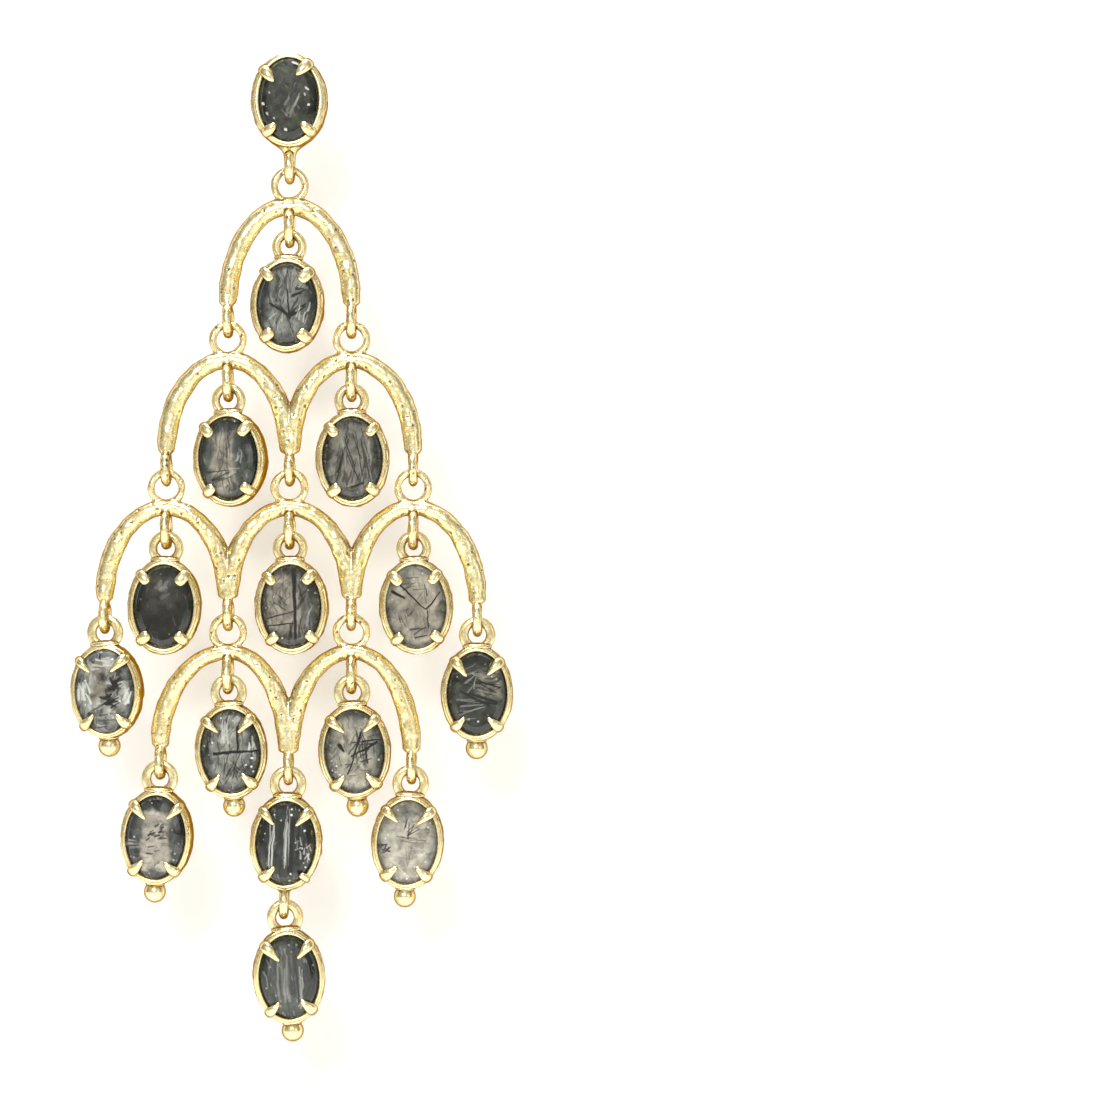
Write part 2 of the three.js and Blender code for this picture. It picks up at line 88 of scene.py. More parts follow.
@dataclass(frozen=True)
class Sizes:
    """The earring's own sizes in millimetres, the same as the part's."""

    stone_width: float = 5.0
    stone_height: float = 7.0
    stone_crown: float = 0.55
    stone_girdle: float = 0.2
    stone_pavilion: float = 1.5
    rim: float = 0.47
    band_depth: float = 2.4
    girdle_sink: float = 0.12
    drop_ring_hole: float = 0.73
    drop_ring_wire: float = 0.76
    drop_ring_rise: float = 0.9
    ball_radius: float = 0.95
    ball_drop: float = 0.6
    loop_hole: float = 0.72
    loop_wire: float = 0.78
    loop_bite: float = 0.2
    joined_bite: float = 0.5
    arch_ring_hole: float = 0.97
    arch_ring_wire: float = 0.62
    hook_hole: float = 1.0
    hook_wire: float = 0.78
    link_clearance: float = 0.1
    leg_width: float = 1.64
    bar_depth: float = 1.5
    side_gap: float = 1.38
    rise_over_stone: float = 0.6
    stem_spread: float = 0.12
    foot_round: float = 0.22
    stud_rim: float = 0.42
    stud_rim_side: float = 0.66
    stud_depth: float = 2.8
    neck_length: float = 0.82
    post_diameter: float = 0.9
    post_length: float = 10.5

    @property
    def middle(self) -> float:
        """Depth of the plane that all the links hang in."""
        return -self.stud_depth / 2

    @property
    def pitch(self) -> float:
        """Distance between neighbouring arches."""
        return self.stone_width + 2 * self.rim + 2 * self.side_gap + self.leg_width

    @property
    def rise(self) -> float:
        """Height of an arch from its feet to the middle of its crown."""
        return self.stone_height + self.rise_over_stone

    @property
    def band_half(self) -> float:
        """Half the height of a drop's band."""
        return self.stone_height / 2 + self.rim

    @property
    def loop_outer(self) -> float:
        """Outer radius of a foot's loop."""
        return self.loop_hole + self.loop_wire

    def rests_in(self, loop: float, hole: float, wire: float) -> float:
        """Height of a link's topmost wire where it rests in a loop.

        Args:
            loop: Height of the loop's centre.
            hole: Radius of the loop's hole.
            wire: Diameter of the link's wire.

        Returns:
            The height of the middle of that wire.
        """
        return loop - hole + self.link_clearance + wire / 2


@dataclass(frozen=True)
class Tier:
    """One row of arches.

    Crown is the bar's width there as a share of a leg's. Longer is how much further down each foot
    reaches, as a share of the rise. Aside is how far to the right of its even place it stands, as a share
    of the pitch.
    """

    node: str
    body: str
    arches: int
    crown: float
    longer: tuple[float, ...]
    aside: tuple[float, ...]

    def arch_x(self, pitch: float, at: int) -> float:
        """Where an arch stands, counted from the left."""
        return (at - (self.arches - 1) / 2) * pitch

    def foot_x(self, pitch: float, at: int) -> float:
        """Where a foot stands, counted from the left."""
        return (at - self.arches / 2 + self.aside[at]) * pitch


@dataclass(frozen=True)
class Needle:
    """One needle or streak in a stone, in millimetres from the stone's middle.

    Dark is 1 for a black needle and negative for a pale streak; the stud's short pale ones are painted glints.
    """

    start: tuple[float, float]
    end: tuple[float, float]
    width: float = 0.08
    dark: float = 1.0


@dataclass(frozen=True)
class Bundle:
    """Needles that lie together round a point of a stone, in millimetres and in degrees from the upright.

    Lean is clockwise, fan is how far they differ from it, and rooted ones all start at the point.
    """

    middle: tuple[float, float]
    spread: float
    lean: float
    fan: float
    count: int
    length: float
    width: float = 0.1
    dark: float = 0.9
    rooted: bool = False

    def needles(self, chance: random.Random) -> list[Needle]:
        """Scatters the needles with a given source of chance."""
        made = []
        for _ in range(self.count):
            angle = math.radians(self.lean + self.fan * chance.uniform(-1, 1))
            along = (math.sin(angle), math.cos(angle))
            length = self.length * chance.uniform(0.6, 1.15)
            x = self.middle[0] + self.spread * chance.uniform(-1, 1)
            z = self.middle[1] + 1.2 * self.spread * chance.uniform(-1, 1)
            back, on = (0.0, length) if self.rooted else (length / 2, length / 2)
            start = (x - back * along[0], z - back * along[1])
            end = (x + on * along[0], z + on * along[1])
            width = self.width * chance.uniform(0.6, 1.3)
            made.append(Needle(start, end, width, self.dark * chance.uniform(0.6, 1)))
        return made


@dataclass(frozen=True)
class StoneLook:
    """The colours and inclusions of one stone.

    Window_box holds the middle and the half sizes of the clear patch, whose window colour is painted light
    seen through the stone, and grain leans the hairs clockwise.
    Hair, pale, cloud, facets and glint_paint are strengths from 0 to 1; facets is painted facet light and
    shade, and glint_paint painted glints.
    """

    edge: Colour
    body: Colour
    # Painted see-through light in the clear patch.
    window: Colour
    window_box: tuple[float, float, float, float] = (0.0, 0.0, 1.1, 2.2)
    window_soft: float = 0.9
    grain: float = 0.0
    hair: float = 0.6
    pale: float = 0.3
    cloud: float = 0.6
    facets: float = 0.5
    glint_paint: float = 0.6
    seed: int = 0
    bundles: tuple[Bundle, ...] = ()
    needles: tuple[Needle, ...] = ()

    def all_needles(self) -> list[Needle]:
        """The chosen needles and those of the bundles."""
        chance = random.Random(self.seed)
        return [needle for bundle in self.bundles for needle in bundle.needles(chance)] + list(self.needles)


@dataclass(frozen=True)
class Hanging:
    """One stone drop: where it hangs, how it leans, and how its stone looks.

    Hook or foot is the one that it hangs from, counted from the left. Turn is about the upright and lean
    carries the lower end to the right, both in degrees. Worn_claw is the claw that is worn down, if any.
    """

    name: str
    slot: str
    under: Underneath
    look: StoneLook
    hook: int = -1
    foot: int = -1
    turn: float = 0.0
    lean: float = 0.0
    worn_claw: int = -1

    @property
    def fringe(self) -> bool:
        """Whether it is one of the drops with long claws, which carry a ball or a loop."""
        return self.under is not Underneath.NOTHING


TIERS = (
    Tier("tier_1_arch", "tier_1", 1, 0.93, (0.062, 0.062), (0, 0)),
    Tier("tier_2_arches", "tier_2", 2, 0.89, (0, 0, 0), (0, 0, 0)),
    Tier("tier_3_arches", "tier_3", 3, 0.83, (0, -0.033, -0.033, 0.026), (0, 0, 0, 0.02)),
    Tier("tier_4_arches", "tier_4", 2, 0.8, (0.018, 0.08, 0.071), (-0.048, -0.01, -0.014)),
)

NEEDLE_SHARE = 0.8  # how much of a needle's width is dark
NEEDLE_TONE: Colour = (0.012, 0.014, 0.013)
# Pale streaks in the stones, and on the stud painted glints.
PALE_STREAK_AND_GLINT_TONE: Colour = (0.66, 0.68, 0.64)
STRAND_DARK: Colour = (0.016, 0.019, 0.018)
STRAND_PALE: Colour = (0.5, 0.52, 0.5)
# The colour of painted glints on the stones.
PAINTED_GLINT_TONE: Colour = (0.95, 0.97, 0.95)

GREEN_BLACK: Colour = (0.007, 0.012, 0.008)
CHARCOAL: Colour = (0.02, 0.024, 0.022)
SLATE: Colour = (0.074, 0.083, 0.076)
OLIVE: Colour = (0.038, 0.043, 0.027)

STUD_LOOK = StoneLook(
    edge=GREEN_BLACK, body=(0.014, 0.018, 0.013), window=OLIVE, window_box=(0.0, 0.2, 0.7, 1.7),
    window_soft=1.4, grain=18, hair=0.5, pale=0.3, cloud=0.9, glint_paint=1.0, seed=3,
    bundles=(
        Bundle((0.3, 0.0), 0.6, 22, 12, 6, 1.8, 0.13, -0.16),
        Bundle((0.1, 0.2), 0.9, 12, 25, 6, 1.6, 0.16, 0.9),
    ),
    needles=(
        # Painted glints: these short pale marks stand for white glints on the stud's crown.
        Needle((0.45, 3.0), (0.85, 2.85), 0.14, -0.9),
        Needle((-2.05, -0.4), (-2.0, -0.45), 0.18, -0.95),
        Needle((-0.2, -2.55), (-0.15, -2.6), 0.18, -0.95),
        Needle((1.75, -0.5), (1.8, -0.55), 0.17, -0.95),
        Needle((1.5, 0.95), (1.7, 0.8), 0.14, -0.8),
        Needle((1.35, 0.45), (1.4, 0.3), 0.1, -0.7),
        Needle((-1.75, -1.15), (-1.7, -1.3), 0.13, -0.7),
        Needle((-1.6, 0.5), (-1.55, 0.4), 0.1, -0.6),
        Needle((-1.2, -1.6), (-1.15, -1.7), 0.1, -0.6),
    ),
)

TIER_1_DROP_LOOK = StoneLook(
    edge=CHARCOAL, body=SLATE, window=(0.183, 0.193, 0.174), window_box=(0.0, 0.1, 1.2, 2.4),
    window_soft=0.6, grain=14, hair=0.7, pale=0.5, glint_paint=1.0, seed=1,
    bundles=(
        Bundle((0.25, -0.95), 0.1, 0, 85, 9, 1.7, 0.14, 1.0, True),
        Bundle((-0.3, 1.7), 0.6, 14, 16, 4, 1.5, 0.24, 0.8),
        Bundle((0.8, 0.9), 0.5, 60, 30, 5, 1.0, 0.16, 0.9),
        Bundle((1.5, -0.6), 0.6, 40, 40, 8, 0.7, 0.09, -0.5),
        Bundle((-0.8, -1.6), 0.5, 35, 40, 4, 0.8, 0.08, -0.4),
    ),
    needles=(Needle((0.3, -1.2), (0.0, 1.2), 0.13), Needle((0.3, -1.0), (-1.4, 0.0), 0.15)),
)

TIER_2_DROP_LEFT_LOOK = StoneLook(
    edge=GREEN_BLACK, body=(0.066, 0.078, 0.067), window=(0.25, 0.232, 0.188),
    window_box=(-0.3, -0.3, 0.6, 2.2), window_soft=0.7, hair=0.6, pale=0.4, glint_paint=0.9, seed=5,
    bundles=(
        Bundle((-0.3, 0.6), 0.6, 2, 8, 7, 2.2, 0.08, 0.55),
        Bundle((-0.5, -1.3), 0.4, 78, 14, 4, 1.6, 0.12, 0.95),
        Bundle((0.8, -0.6), 0.7, 50, 50, 7, 0.8, 0.12, -0.28),
    ),
)

TIER_2_DROP_RIGHT_LOOK = StoneLook(
    edge=CHARCOAL, body=(0.077, 0.082, 0.071), window=(0.154, 0.151, 0.125),
    window_box=(-0.2, 0.0, 1.3, 2.3), grain=-6, hair=0.7, glint_paint=0.5, seed=7,
    bundles=(
        Bundle((-0.2, 0.1), 1.1, 16, 8, 8, 3.0, 0.1, 0.9),
        Bundle((0.6, 0.2), 0.9, -13, 8, 8, 3.0, 0.11, 0.9),
        Bundle((0.4, -0.1), 1.2, 0, 12, 7, 2.2, 0.08, -0.22),
        Bundle((0.5, -1.9), 0.4, 75, 12, 2, 1.4, 0.13, 0.9),
    ),
)

TIER_3_DROP_LEFT_LOOK = StoneLook(
    edge=GREEN_BLACK, body=(0.014, 0.016, 0.013), window=(0.045, 0.044, 0.038),
    window_box=(-0.1, 1.3, 0.5, 0.7), window_soft=1.5, hair=0.4, pale=0.15, facets=0.35, glint_paint=0.3,
    seed=9,
    bundles=(Bundle((0.0, 1.4), 0.55, 40, 50, 6, 0.8, 0.34, -0.1),),
)

TIER_3_DROP_MIDDLE_LOOK = StoneLook(
    edge=CHARCOAL, body=(0.094, 0.096, 0.081), window=(0.238, 0.218, 0.179),
    window_box=(-0.5, 0.2, 0.9, 2.0), window_soft=0.8, hair=0.5, glint_paint=0.7, seed=11,
    bundles=(
        Bundle((-1.1, 0.6), 0.5, -35, 25, 4, 1.1, 0.07, 0.7),
        Bundle((0.4, -1.9), 0.5, 4, 12, 7, 1.5, 0.13, 0.85),
        Bundle((1.1, -0.8), 0.6, 45, 40, 6, 0.9, 0.12, -0.25),
        Bundle((1.2, 0.8), 0.6, 10, 30, 5, 1.2, 0.2, 0.7),
    ),
    needles=(
        Needle((0.35, 3.1), (0.3, -2.9), 0.26),
        Needle((-2.0, -0.95), (0.3, -0.35), 0.08),
        Needle((-1.9, -1.6), (0.3, -1.35), 0.1),
    ),
)

TIER_3_DROP_RIGHT_LOOK = StoneLook(
    edge=(0.12, 0.12, 0.105), body=(0.193, 0.184, 0.149), window=(0.273, 0.254, 0.206),
    window_box=(0.0, -0.4, 1.5, 2.3), hair=0.35, cloud=0.5, glint_paint=0.5, seed=13,
    bundles=(
        Bundle((0.6, 1.0), 0.5, 30, 60, 6, 0.9, 0.07, 0.75),
        Bundle((-1.0, -0.8), 0.6, 15, 60, 5, 0.7, 0.08, 0.8),
        Bundle((0.2, -2.2), 0.4, 72, 20, 3, 0.9, 0.13, 0.9),
        Bundle((0.0, 2.0), 0.7, 85, 25, 4, 1.0, 0.12, 0.75),
    ),
    needles=(
        Needle((-1.9, 1.3), (-0.9, 0.75), 0.2),
        Needle((-1.2, 1.8), (0.8, -0.3), 0.12),
        Needle((0.9, -0.3), (2.0, 1.1), 0.1),
        Needle((1.0, -0.4), (0.9, -1.8), 0.06),
    ),
)

TIER_3_END_LEFT_LOOK = StoneLook(
    edge=(0.09, 0.1, 0.1), body=(0.247, 0.256, 0.228), window=(0.191, 0.176, 0.141),
    window_box=(-0.35, 0.9, 0.5, 1.7), window_soft=0.25, grain=-12, hair=0.45, pale=1.0, cloud=0.9,
    facets=1.0, glint_paint=1.0, seed=15,
    bundles=(
        Bundle((1.0, 0.5), 0.3, 35, 70, 10, 0.9, 0.22, 1.0),
        Bundle((0.6, -0.8), 0.35, 60, 70, 9, 1.0, 0.18, 1.0),
        Bundle((0.3, -1.0), 0.1, 0, 120, 8, 1.3, 0.08, 0.9, True),
        Bundle((-1.7, -0.2), 0.5, -10, 20, 8, 1.1, 0.14, -0.8),
        Bundle((1.9, -0.6), 0.3, 10, 20, 6, 1.2, 0.14, -0.8),
        Bundle((0.0, 2.4), 0.8, 80, 20, 5, 0.8, 0.12, -0.7),
        Bundle((0.0, -2.6), 0.6, 88, 8, 3, 1.3, 0.1, 0.9),
    ),
)

TIER_3_END_RIGHT_LOOK = StoneLook(
    edge=GREEN_BLACK, body=(0.036, 0.042, 0.035), window=(0.191, 0.189, 0.151),
    window_box=(1.0, 0.9, 0.5, 0.7), window_soft=0.9, grain=-70, hair=0.75, glint_paint=0.7, seed=17,
    bundles=(
        Bundle((0.5, -0.1), 0.8, 108, 14, 9, 2.4, 0.12, 1.0),
        Bundle((-0.3, -1.4), 0.8, 84, 14, 6, 1.8, 0.08, -0.25),
        Bundle((-0.4, 1.1), 0.6, 60, 60, 7, 0.9, 0.1, -0.25),
    ),
)

TIER_4_DROP_LEFT_LOOK = StoneLook(
    edge=CHARCOAL, body=(0.086, 0.097, 0.09), window=(0.219, 0.223, 0.194),
    window_box=(-0.1, 0.3, 0.9, 2.4), grain=-8, hair=0.7, pale=0.8, cloud=0.8, glint_paint=1.0, seed=19,
    bundles=(
        Bundle((-0.4, 1.6), 0.5, 4, 8, 6, 1.6, 0.1, -0.6),
        Bundle((0.0, -1.5), 0.7, 24, 22, 6, 1.8, 0.1, 0.9),
        Bundle((0.9, -1.5), 0.6, -30, 22, 5, 1.4, 0.08, 0.9),
        Bundle((1.7, 0.3), 0.4, 15, 40, 7, 0.8, 0.12, -0.6),
        Bundle((-1.8, -0.2), 0.4, 5, 12, 5, 1.8, 0.16, 0.9),
    ),
    needles=(Needle((-1.3, -0.1), (2.3, -0.05), 0.2), Needle((0.75, 2.0), (0.65, 0.0), 0.2)),
)

TIER_4_DROP_RIGHT_LOOK = StoneLook(
    edge=(0.04, 0.045, 0.042), body=(0.167, 0.173, 0.145), window=(0.32, 0.305, 0.251),
    window_box=(-0.2, -0.2, 1.1, 2.3), hair=0.55, pale=0.4, glint_paint=0.7, seed=21,
    bundles=(
        Bundle((0.5, 0.4), 0.7, 35, 55, 13, 1.9, 0.09, 0.95),
        Bundle((0.3, -1.6), 0.8, 60, 40, 7, 1.1, 0.07, 0.85),
        Bundle((1.5, 0.8), 0.4, 60, 60, 6, 0.7, 0.12, 0.9),
    ),
    needles=(
        Needle((0.6, 1.5), (-0.6, -1.9), 0.14),
        Needle((1.9, 0.7), (-0.3, -0.4), 0.13),
        Needle((-1.2, 0.6), (-0.9, 0.1), 0.24),
    ),
)

TIER_4_END_LEFT_LOOK = StoneLook(
    edge=CHARCOAL, body=(0.074, 0.082, 0.073), window=(0.333, 0.315, 0.264),
    window_box=(0.1, -0.2, 0.95, 2.3), window_soft=0.45, grain=80, hair=0.35, cloud=0.5, facets=0.9,
    glint_paint=0.4, seed=23,
    bundles=(
        Bundle((0.2, 0.7), 0.7, 65, 25, 10, 0.45, 0.13, 1.0),
        Bundle((0.1, -0.6), 0.7, 70, 25, 8, 0.45, 0.09, 0.9),
        Bundle((-1.9, -0.6), 0.4, 84, 10, 6, 0.8, 0.14, -0.22),
    ),
)

TIER_4_END_MIDDLE_LOOK = StoneLook(
    edge=GREEN_BLACK, body=(0.019, 0.023, 0.02), window=(0.032, 0.037, 0.033),
    window_box=(0.0, 0.0, 0.9, 2.6), hair=0.7, pale=0.6, facets=0.4, glint_paint=1.0, seed=25,
    bundles=(
        Bundle((-1.2, -0.4), 0.22, 3, 3, 4, 4.0, 0.1, -0.55),
        Bundle((0.0, 0.2), 0.4, 1, 3, 7, 5.0, 0.09, -0.42),
        Bundle((1.6, -0.5), 0.75, 15, 50, 11, 0.6, 0.1, -0.6),
        Bundle((0.8, 0.0), 0.3, 2, 3, 3, 5.0, 0.3, 0.95),
    ),
)

TIER_4_END_RIGHT_LOOK = StoneLook(
    edge=(0.16, 0.16, 0.14), body=(0.291, 0.292, 0.244), window=(0.407, 0.386, 0.322),
    window_box=(0.0, -0.8, 1.2, 1.9), window_soft=1.2, grain=85, hair=0.3, cloud=0.45, glint_paint=0.6, seed=27,
    bundles=(
        Bundle((0.0, 1.5), 0.5, 40, 50, 7, 1.1, 0.07, 0.85),
        Bundle((-1.8, -0.5), 0.35, 70, 50, 9, 0.7, 0.1, 0.95),
        Bundle((0.5, 0.5), 0.6, 92, 10, 4, 1.6, 0.06, 0.7),
        Bundle((0.2, -1.2), 0.3, 0, 12, 3, 1.6, 0.05, 0.6),
    ),
)

LAST_DROP_LOOK = StoneLook(
    edge=GREEN_BLACK, body=(0.018, 0.022, 0.019), window=(0.049, 0.055, 0.047),
    window_box=(-0.3, 0.2, 0.8, 2.6), window_soft=1.1, hair=0.5, pale=0.5, facets=0.3, glint_paint=0.25,
    seed=29,
    bundles=(
        Bundle((-0.4, -0.2), 0.6, 3, 4, 7, 3.6, 0.16, -0.16),
        Bundle((0.8, -0.8), 0.25, 2, 3, 3, 3.0, 0.14, -0.3),
        Bundle((0.4, 0.4), 0.3, 2, 4, 4, 4.0, 0.26, 0.9),
    ),
)

DROPS: tuple[tuple[Hanging, ...], ...] = (
    (
        Hanging(
            "tier_1_drop", "quartz_grey", Underneath.NOTHING, TIER_1_DROP_LOOK, hook=0, turn=1, lean=-1.7,
        ),
    ),
    (
        Hanging(
            "tier_2_drop_left", "quartz_grey", Underneath.NOTHING, TIER_2_DROP_LEFT_LOOK, hook=0, turn=-7,
            lean=2.2,
        ),
        Hanging(
            "tier_2_drop_right", "quartz_grey", Underneath.NOTHING, TIER_2_DROP_RIGHT_LOOK, hook=1, turn=2,
            lean=1,
        ),
    ),
    (
        Hanging(
            "tier_3_drop_left", "quartz_dark", Underneath.NOTHING, TIER_3_DROP_LEFT_LOOK, hook=0, lean=-1.3,
        ),
        Hanging(
            "tier_3_drop_middle", "quartz_grey", Underneath.NOTHING, TIER_3_DROP_MIDDLE_LOOK, hook=1,
            turn=1, lean=1.6,
        ),
        Hanging(
            "tier_3_drop_right", "quartz_clear", Underneath.NOTHING, TIER_3_DROP_RIGHT_LOOK, hook=2, turn=1,
            lean=2.5,
        ),
        Hanging(
            "tier_3_end_left", "quartz_clear", Underneath.BALL, TIER_3_END_LEFT_LOOK, foot=0, turn=-5,
            lean=2.2,
        ),
        Hanging(
            "tier_3_end_right", "quartz_dark", Underneath.BALL, TIER_3_END_RIGHT_LOOK, foot=3, turn=1,
            lean=-0.3,
        ),
    ),
    (
        Hanging(
            "tier_4_drop_left", "quartz_clear", Underneath.BALL, TIER_4_DROP_LEFT_LOOK, hook=0, turn=1,
            lean=2.8,
        ),
        Hanging(
            "tier_4_drop_right", "quartz_grey", Underneath.BALL, TIER_4_DROP_RIGHT_LOOK, hook=1, turn=1,
            lean=2.8,
        ),
        Hanging(
            "tier_4_end_left", "quartz_grey", Underneath.BALL, TIER_4_END_LEFT_LOOK, foot=0, turn=-2,
            lean=-2.5,
        ),
        Hanging(
            "tier_4_end_middle", "quartz_dark", Underneath.LOOP, TIER_4_END_MIDDLE_LOOK, foot=1, turn=2,
            lean=-1.9, worn_claw=3,
        ),
        Hanging(
            "tier_4_end_right", "quartz_clear", Underneath.BALL, TIER_4_END_RIGHT_LOOK, foot=2, turn=1,
            lean=-3,
        ),
    ),
)

LAST_DROP_SEED = 55.5
LAST_DROP = Hanging("last_drop", "quartz_dark", Underneath.BALL, LAST_DROP_LOOK, turn=3, lean=5.8)


class Graph:
    """Adds nodes to a shader or geometry tree, so that a formula reads as one."""

    def __init__(self, tree: bpy.types.NodeTree) -> None:
        """Keeps the tree that the nodes go into."""
        self.tree = tree

    def put(self, socket: bpy.types.NodeSocket, value: object) -> None:
        """Links a socket to another, or sets it to a value."""
        if isinstance(value, bpy.types.NodeSocket):
            self.tree.links.new(value, socket)
        else:
            socket.default_value = value

    def add(
        self, kind: str, inputs: dict[str | int, object] | None = None, **settings: object
    ) -> bpy.types.Node:
        """Adds a node.

        Args:
            kind: The node's type.
            inputs: Its inputs by name or place, each a socket or a value.
            settings: Its properties.

        Returns:
            The new node.
        """
        node = self.tree.nodes.new(kind)
        for name, value in settings.items():
            setattr(node, name, value)
        for key, value in (inputs or {}).items():
            self.put(node.inputs[key], value)
        return node

    def maths(self, operation: str, *values: object, clamp: bool = False) -> bpy.types.NodeSocket:
        """Adds one Math node and returns its result."""
        node = self.add("ShaderNodeMath", dict(enumerate(values)), operation=operation, use_clamp=clamp)
        return node.outputs[0]

    def plus(self, first: object, second: object) -> bpy.types.NodeSocket:
        """The sum of two numbers."""
        return self.maths("ADD", first, second)

    def minus(self, first: object, second: object) -> bpy.types.NodeSocket:
        """The difference of two numbers."""
        return self.maths("SUBTRACT", first, second)

    def times(self, first: object, second: object) -> bpy.types.NodeSocket:
        """The product of two numbers."""
        return self.maths("MULTIPLY", first, second)

    def vector(self, operation: str, *values: object) -> bpy.types.NodeSocket:
        """Adds one Vector Math node and returns its result, a number where the operation gives one."""
        node = self.add("ShaderNodeVectorMath", operation=operation)
        sockets = [socket for socket in node.inputs if socket.enabled]
        for socket, value in zip(sockets, values):
            self.put(socket, value)
        return next(socket for socket in node.outputs if socket.enabled)

    def smooth_step(self, value: object, low: object, high: object) -> bpy.types.NodeSocket:
        """Eases a value from 0 at low to 1 at high."""
        node = self.add("ShaderNodeMapRange", interpolation_type="SMOOTHSTEP")
        for place, given in enumerate((value, low, high, 0.0, 1.0)):
            self.put(node.inputs[place], given)
        return node.outputs[0]

    def store(self, geometry: object, name: str, value: bpy.types.NodeSocket) -> bpy.types.NodeSocket:
        """Keeps a number on every point of a geometry under a name, and returns the geometry."""
        node = self.add("GeometryNodeStoreNamedAttribute", {"Geometry": geometry, "Name": name})
        node.data_type, node.domain = "FLOAT", "POINT"
        self.put(next(socket for socket in node.inputs if socket.name == "Value" and socket.enabled), value)
        return node.outputs[0]

    def blend(self, share: object, first: object, second: object, mode: str = "MIX") -> bpy.types.NodeSocket:
        """Mixes two colours."""
        node = self.add("ShaderNodeMix", data_type="RGBA", blend_type=mode)
        self.put(node.inputs[0], share)
        for place, given in ((6, first), (7, second)):
            is_colour = isinstance(given, tuple) and len(given) == 3
            self.put(node.inputs[place], (*given, 1.0) if is_colour else given)
        return node.outputs[2]


def geometry_tree(name: str, inputs: Sequence[tuple[str, str, object]]) -> tuple[Graph, bpy.types.Node, dict]:
    """Starts a Geometry Nodes tree with named inputs.

    Args:
        name: The tree's name.
        inputs: Each input's name, socket type and default.

    Returns:
        The graph, its input node and the identifiers of its inputs by name.
    """
    tree = bpy.data.node_groups.new(name, "GeometryNodeTree")
    tree.interface.new_socket("Geometry", in_out="INPUT", socket_type="NodeSocketGeometry")
    tree.interface.new_socket("Geometry", in_out="OUTPUT", socket_type="NodeSocketGeometry")
    identifiers = {}
    for label, kind, default in inputs:
        socket = tree.interface.new_socket(label, in_out="INPUT", socket_type=kind)
        if default is not None:
            socket.default_value = default
        identifiers[label] = socket.identifier
    graph = Graph(tree)
    return graph, graph.add("NodeGroupInput"), identifiers


def close_tree(graph: Graph, geometry: bpy.types.NodeSocket, material: bpy.types.NodeSocket) -> None:
    """Ends a Geometry Nodes tree in Realize Instances and Set Material."""
    real = graph.add("GeometryNodeRealizeInstances", {"Geometry": geometry})
    dressed = graph.add("GeometryNodeSetMaterial", {"Geometry": real.outputs[0], "Material": material})
    graph.add("NodeGroupOutput", {"Geometry": dressed.outputs[0]})


def run_tree(
    name: str,
    mesh: bpy.types.Mesh,
    tree: bpy.types.NodeTree,
    identifiers: dict[str, str],
    values: dict[str, object],
) -> bpy.types.Mesh:
    """Runs a Geometry Nodes tree on a mesh.

    Args:
        name: The new mesh's name.
        mesh: What goes in.
        tree: The tree.
        identifiers: The identifiers of its inputs by name.
        values: The inputs by name.

    Returns:
        The tree's result as a plain mesh.
    """
    worker = bpy.data.objects.new(name + "_worker", mesh)
    bpy.context.scene.collection.objects.link(worker)
    modifier = worker.modifiers.new("Nodes", "NODES")
    modifier.node_group = tree
    for label, value in values.items():
        modifier[identifiers[label]] = value
    return baked(name, worker)


def baked(name: str, worker: bpy.types.Object) -> bpy.types.Mesh:
    """Turns an object with modifiers into a plain mesh and removes the object."""
    bpy.context.view_layer.update()
    graph = bpy.context.evaluated_depsgraph_get()
    made = bpy.data.meshes.new_from_object(worker.evaluated_get(graph), depsgraph=graph)
    made.name = name
    bpy.data.objects.remove(worker)
    return made


def skin(name: str, rows: Sequence[Row], ring: bool = False) -> bpy.types.Mesh:
    """Joins rows of points, each a closed outline, into one closed mesh.

    Args:
        name: The mesh's name.
        rows: The outlines, with as many points each.
        ring: Whether the last row joins the first. Otherwise the end rows are capped.

    Returns:
        The mesh, its faces pointing out.
    """
    count = len(rows[0])
    points = [point for row in rows for point in row]
    faces: list[tuple[int, ...]] = []
    for i in range(len(rows) if ring else len(rows) - 1):
        a, b = i * count, ((i + 1) % len(rows)) * count
        for k in range(count):
            n = (k + 1) % count
            faces.append((a + k, a + n, b + n, b + k))
    if not ring:
        last = (len(rows) - 1) * count
        faces.append(tuple(reversed(range(count))))
        faces.append(tuple(range(last, last + count)))
    mesh = bpy.data.meshes.new(name)
    mesh.from_pydata([tuple(point) for point in points], [], faces)
    if signed_volume(mesh) < 0:
        mesh.flip_normals()
    return mesh


def signed_volume(mesh: bpy.types.Mesh) -> float:
    """Volume inside a closed mesh, negative where its faces point inwards."""
    total = 0.0
    for polygon in mesh.polygons:
        corners = [mesh.vertices[i].co for i in polygon.vertices]
        for k in range(1, len(corners) - 1):
            total += corners[0].dot(corners[k].cross(corners[k + 1])) / 6
    return total


def oval(half_width: float, half_height: float, depth: float, sides: int) -> Row:
    """An oval outline that faces the viewer."""
    turns = [2 * math.pi * k / sides for k in range(sides)]
    return [Vector((half_width * math.cos(a), depth, half_height * math.sin(a))) for a in turns]


def tube(
    name: str, path: Sequence[Vector], across: Vector, sizes: Sequence[tuple[float, float]]
) -> bpy.types.Mesh:
    """A bar of changing section along a path.

    Args:
        name: The mesh's name.
        path: The middles of its sections.
        across: The direction of the first size, square to the path.
        sizes: The half width and half thickness at each section.

    Returns:
        The closed mesh.
    """
    sides = 14
    rows = []
    for k, centre in enumerate(path):
        along = (path[min(k + 1, len(path) - 1)] - path[max(k - 1, 0)]).normalized()
        through = along.cross(across).normalized()
        width, thick = sizes[k]
        row = []
        for i in range(sides):
            turn = 2 * math.pi * (i + 0.5) / sides
            row.append(centre + across * (width * math.cos(turn)) + through * (thick * math.sin(turn)))
        rows.append(row)
    return skin(name, rows)


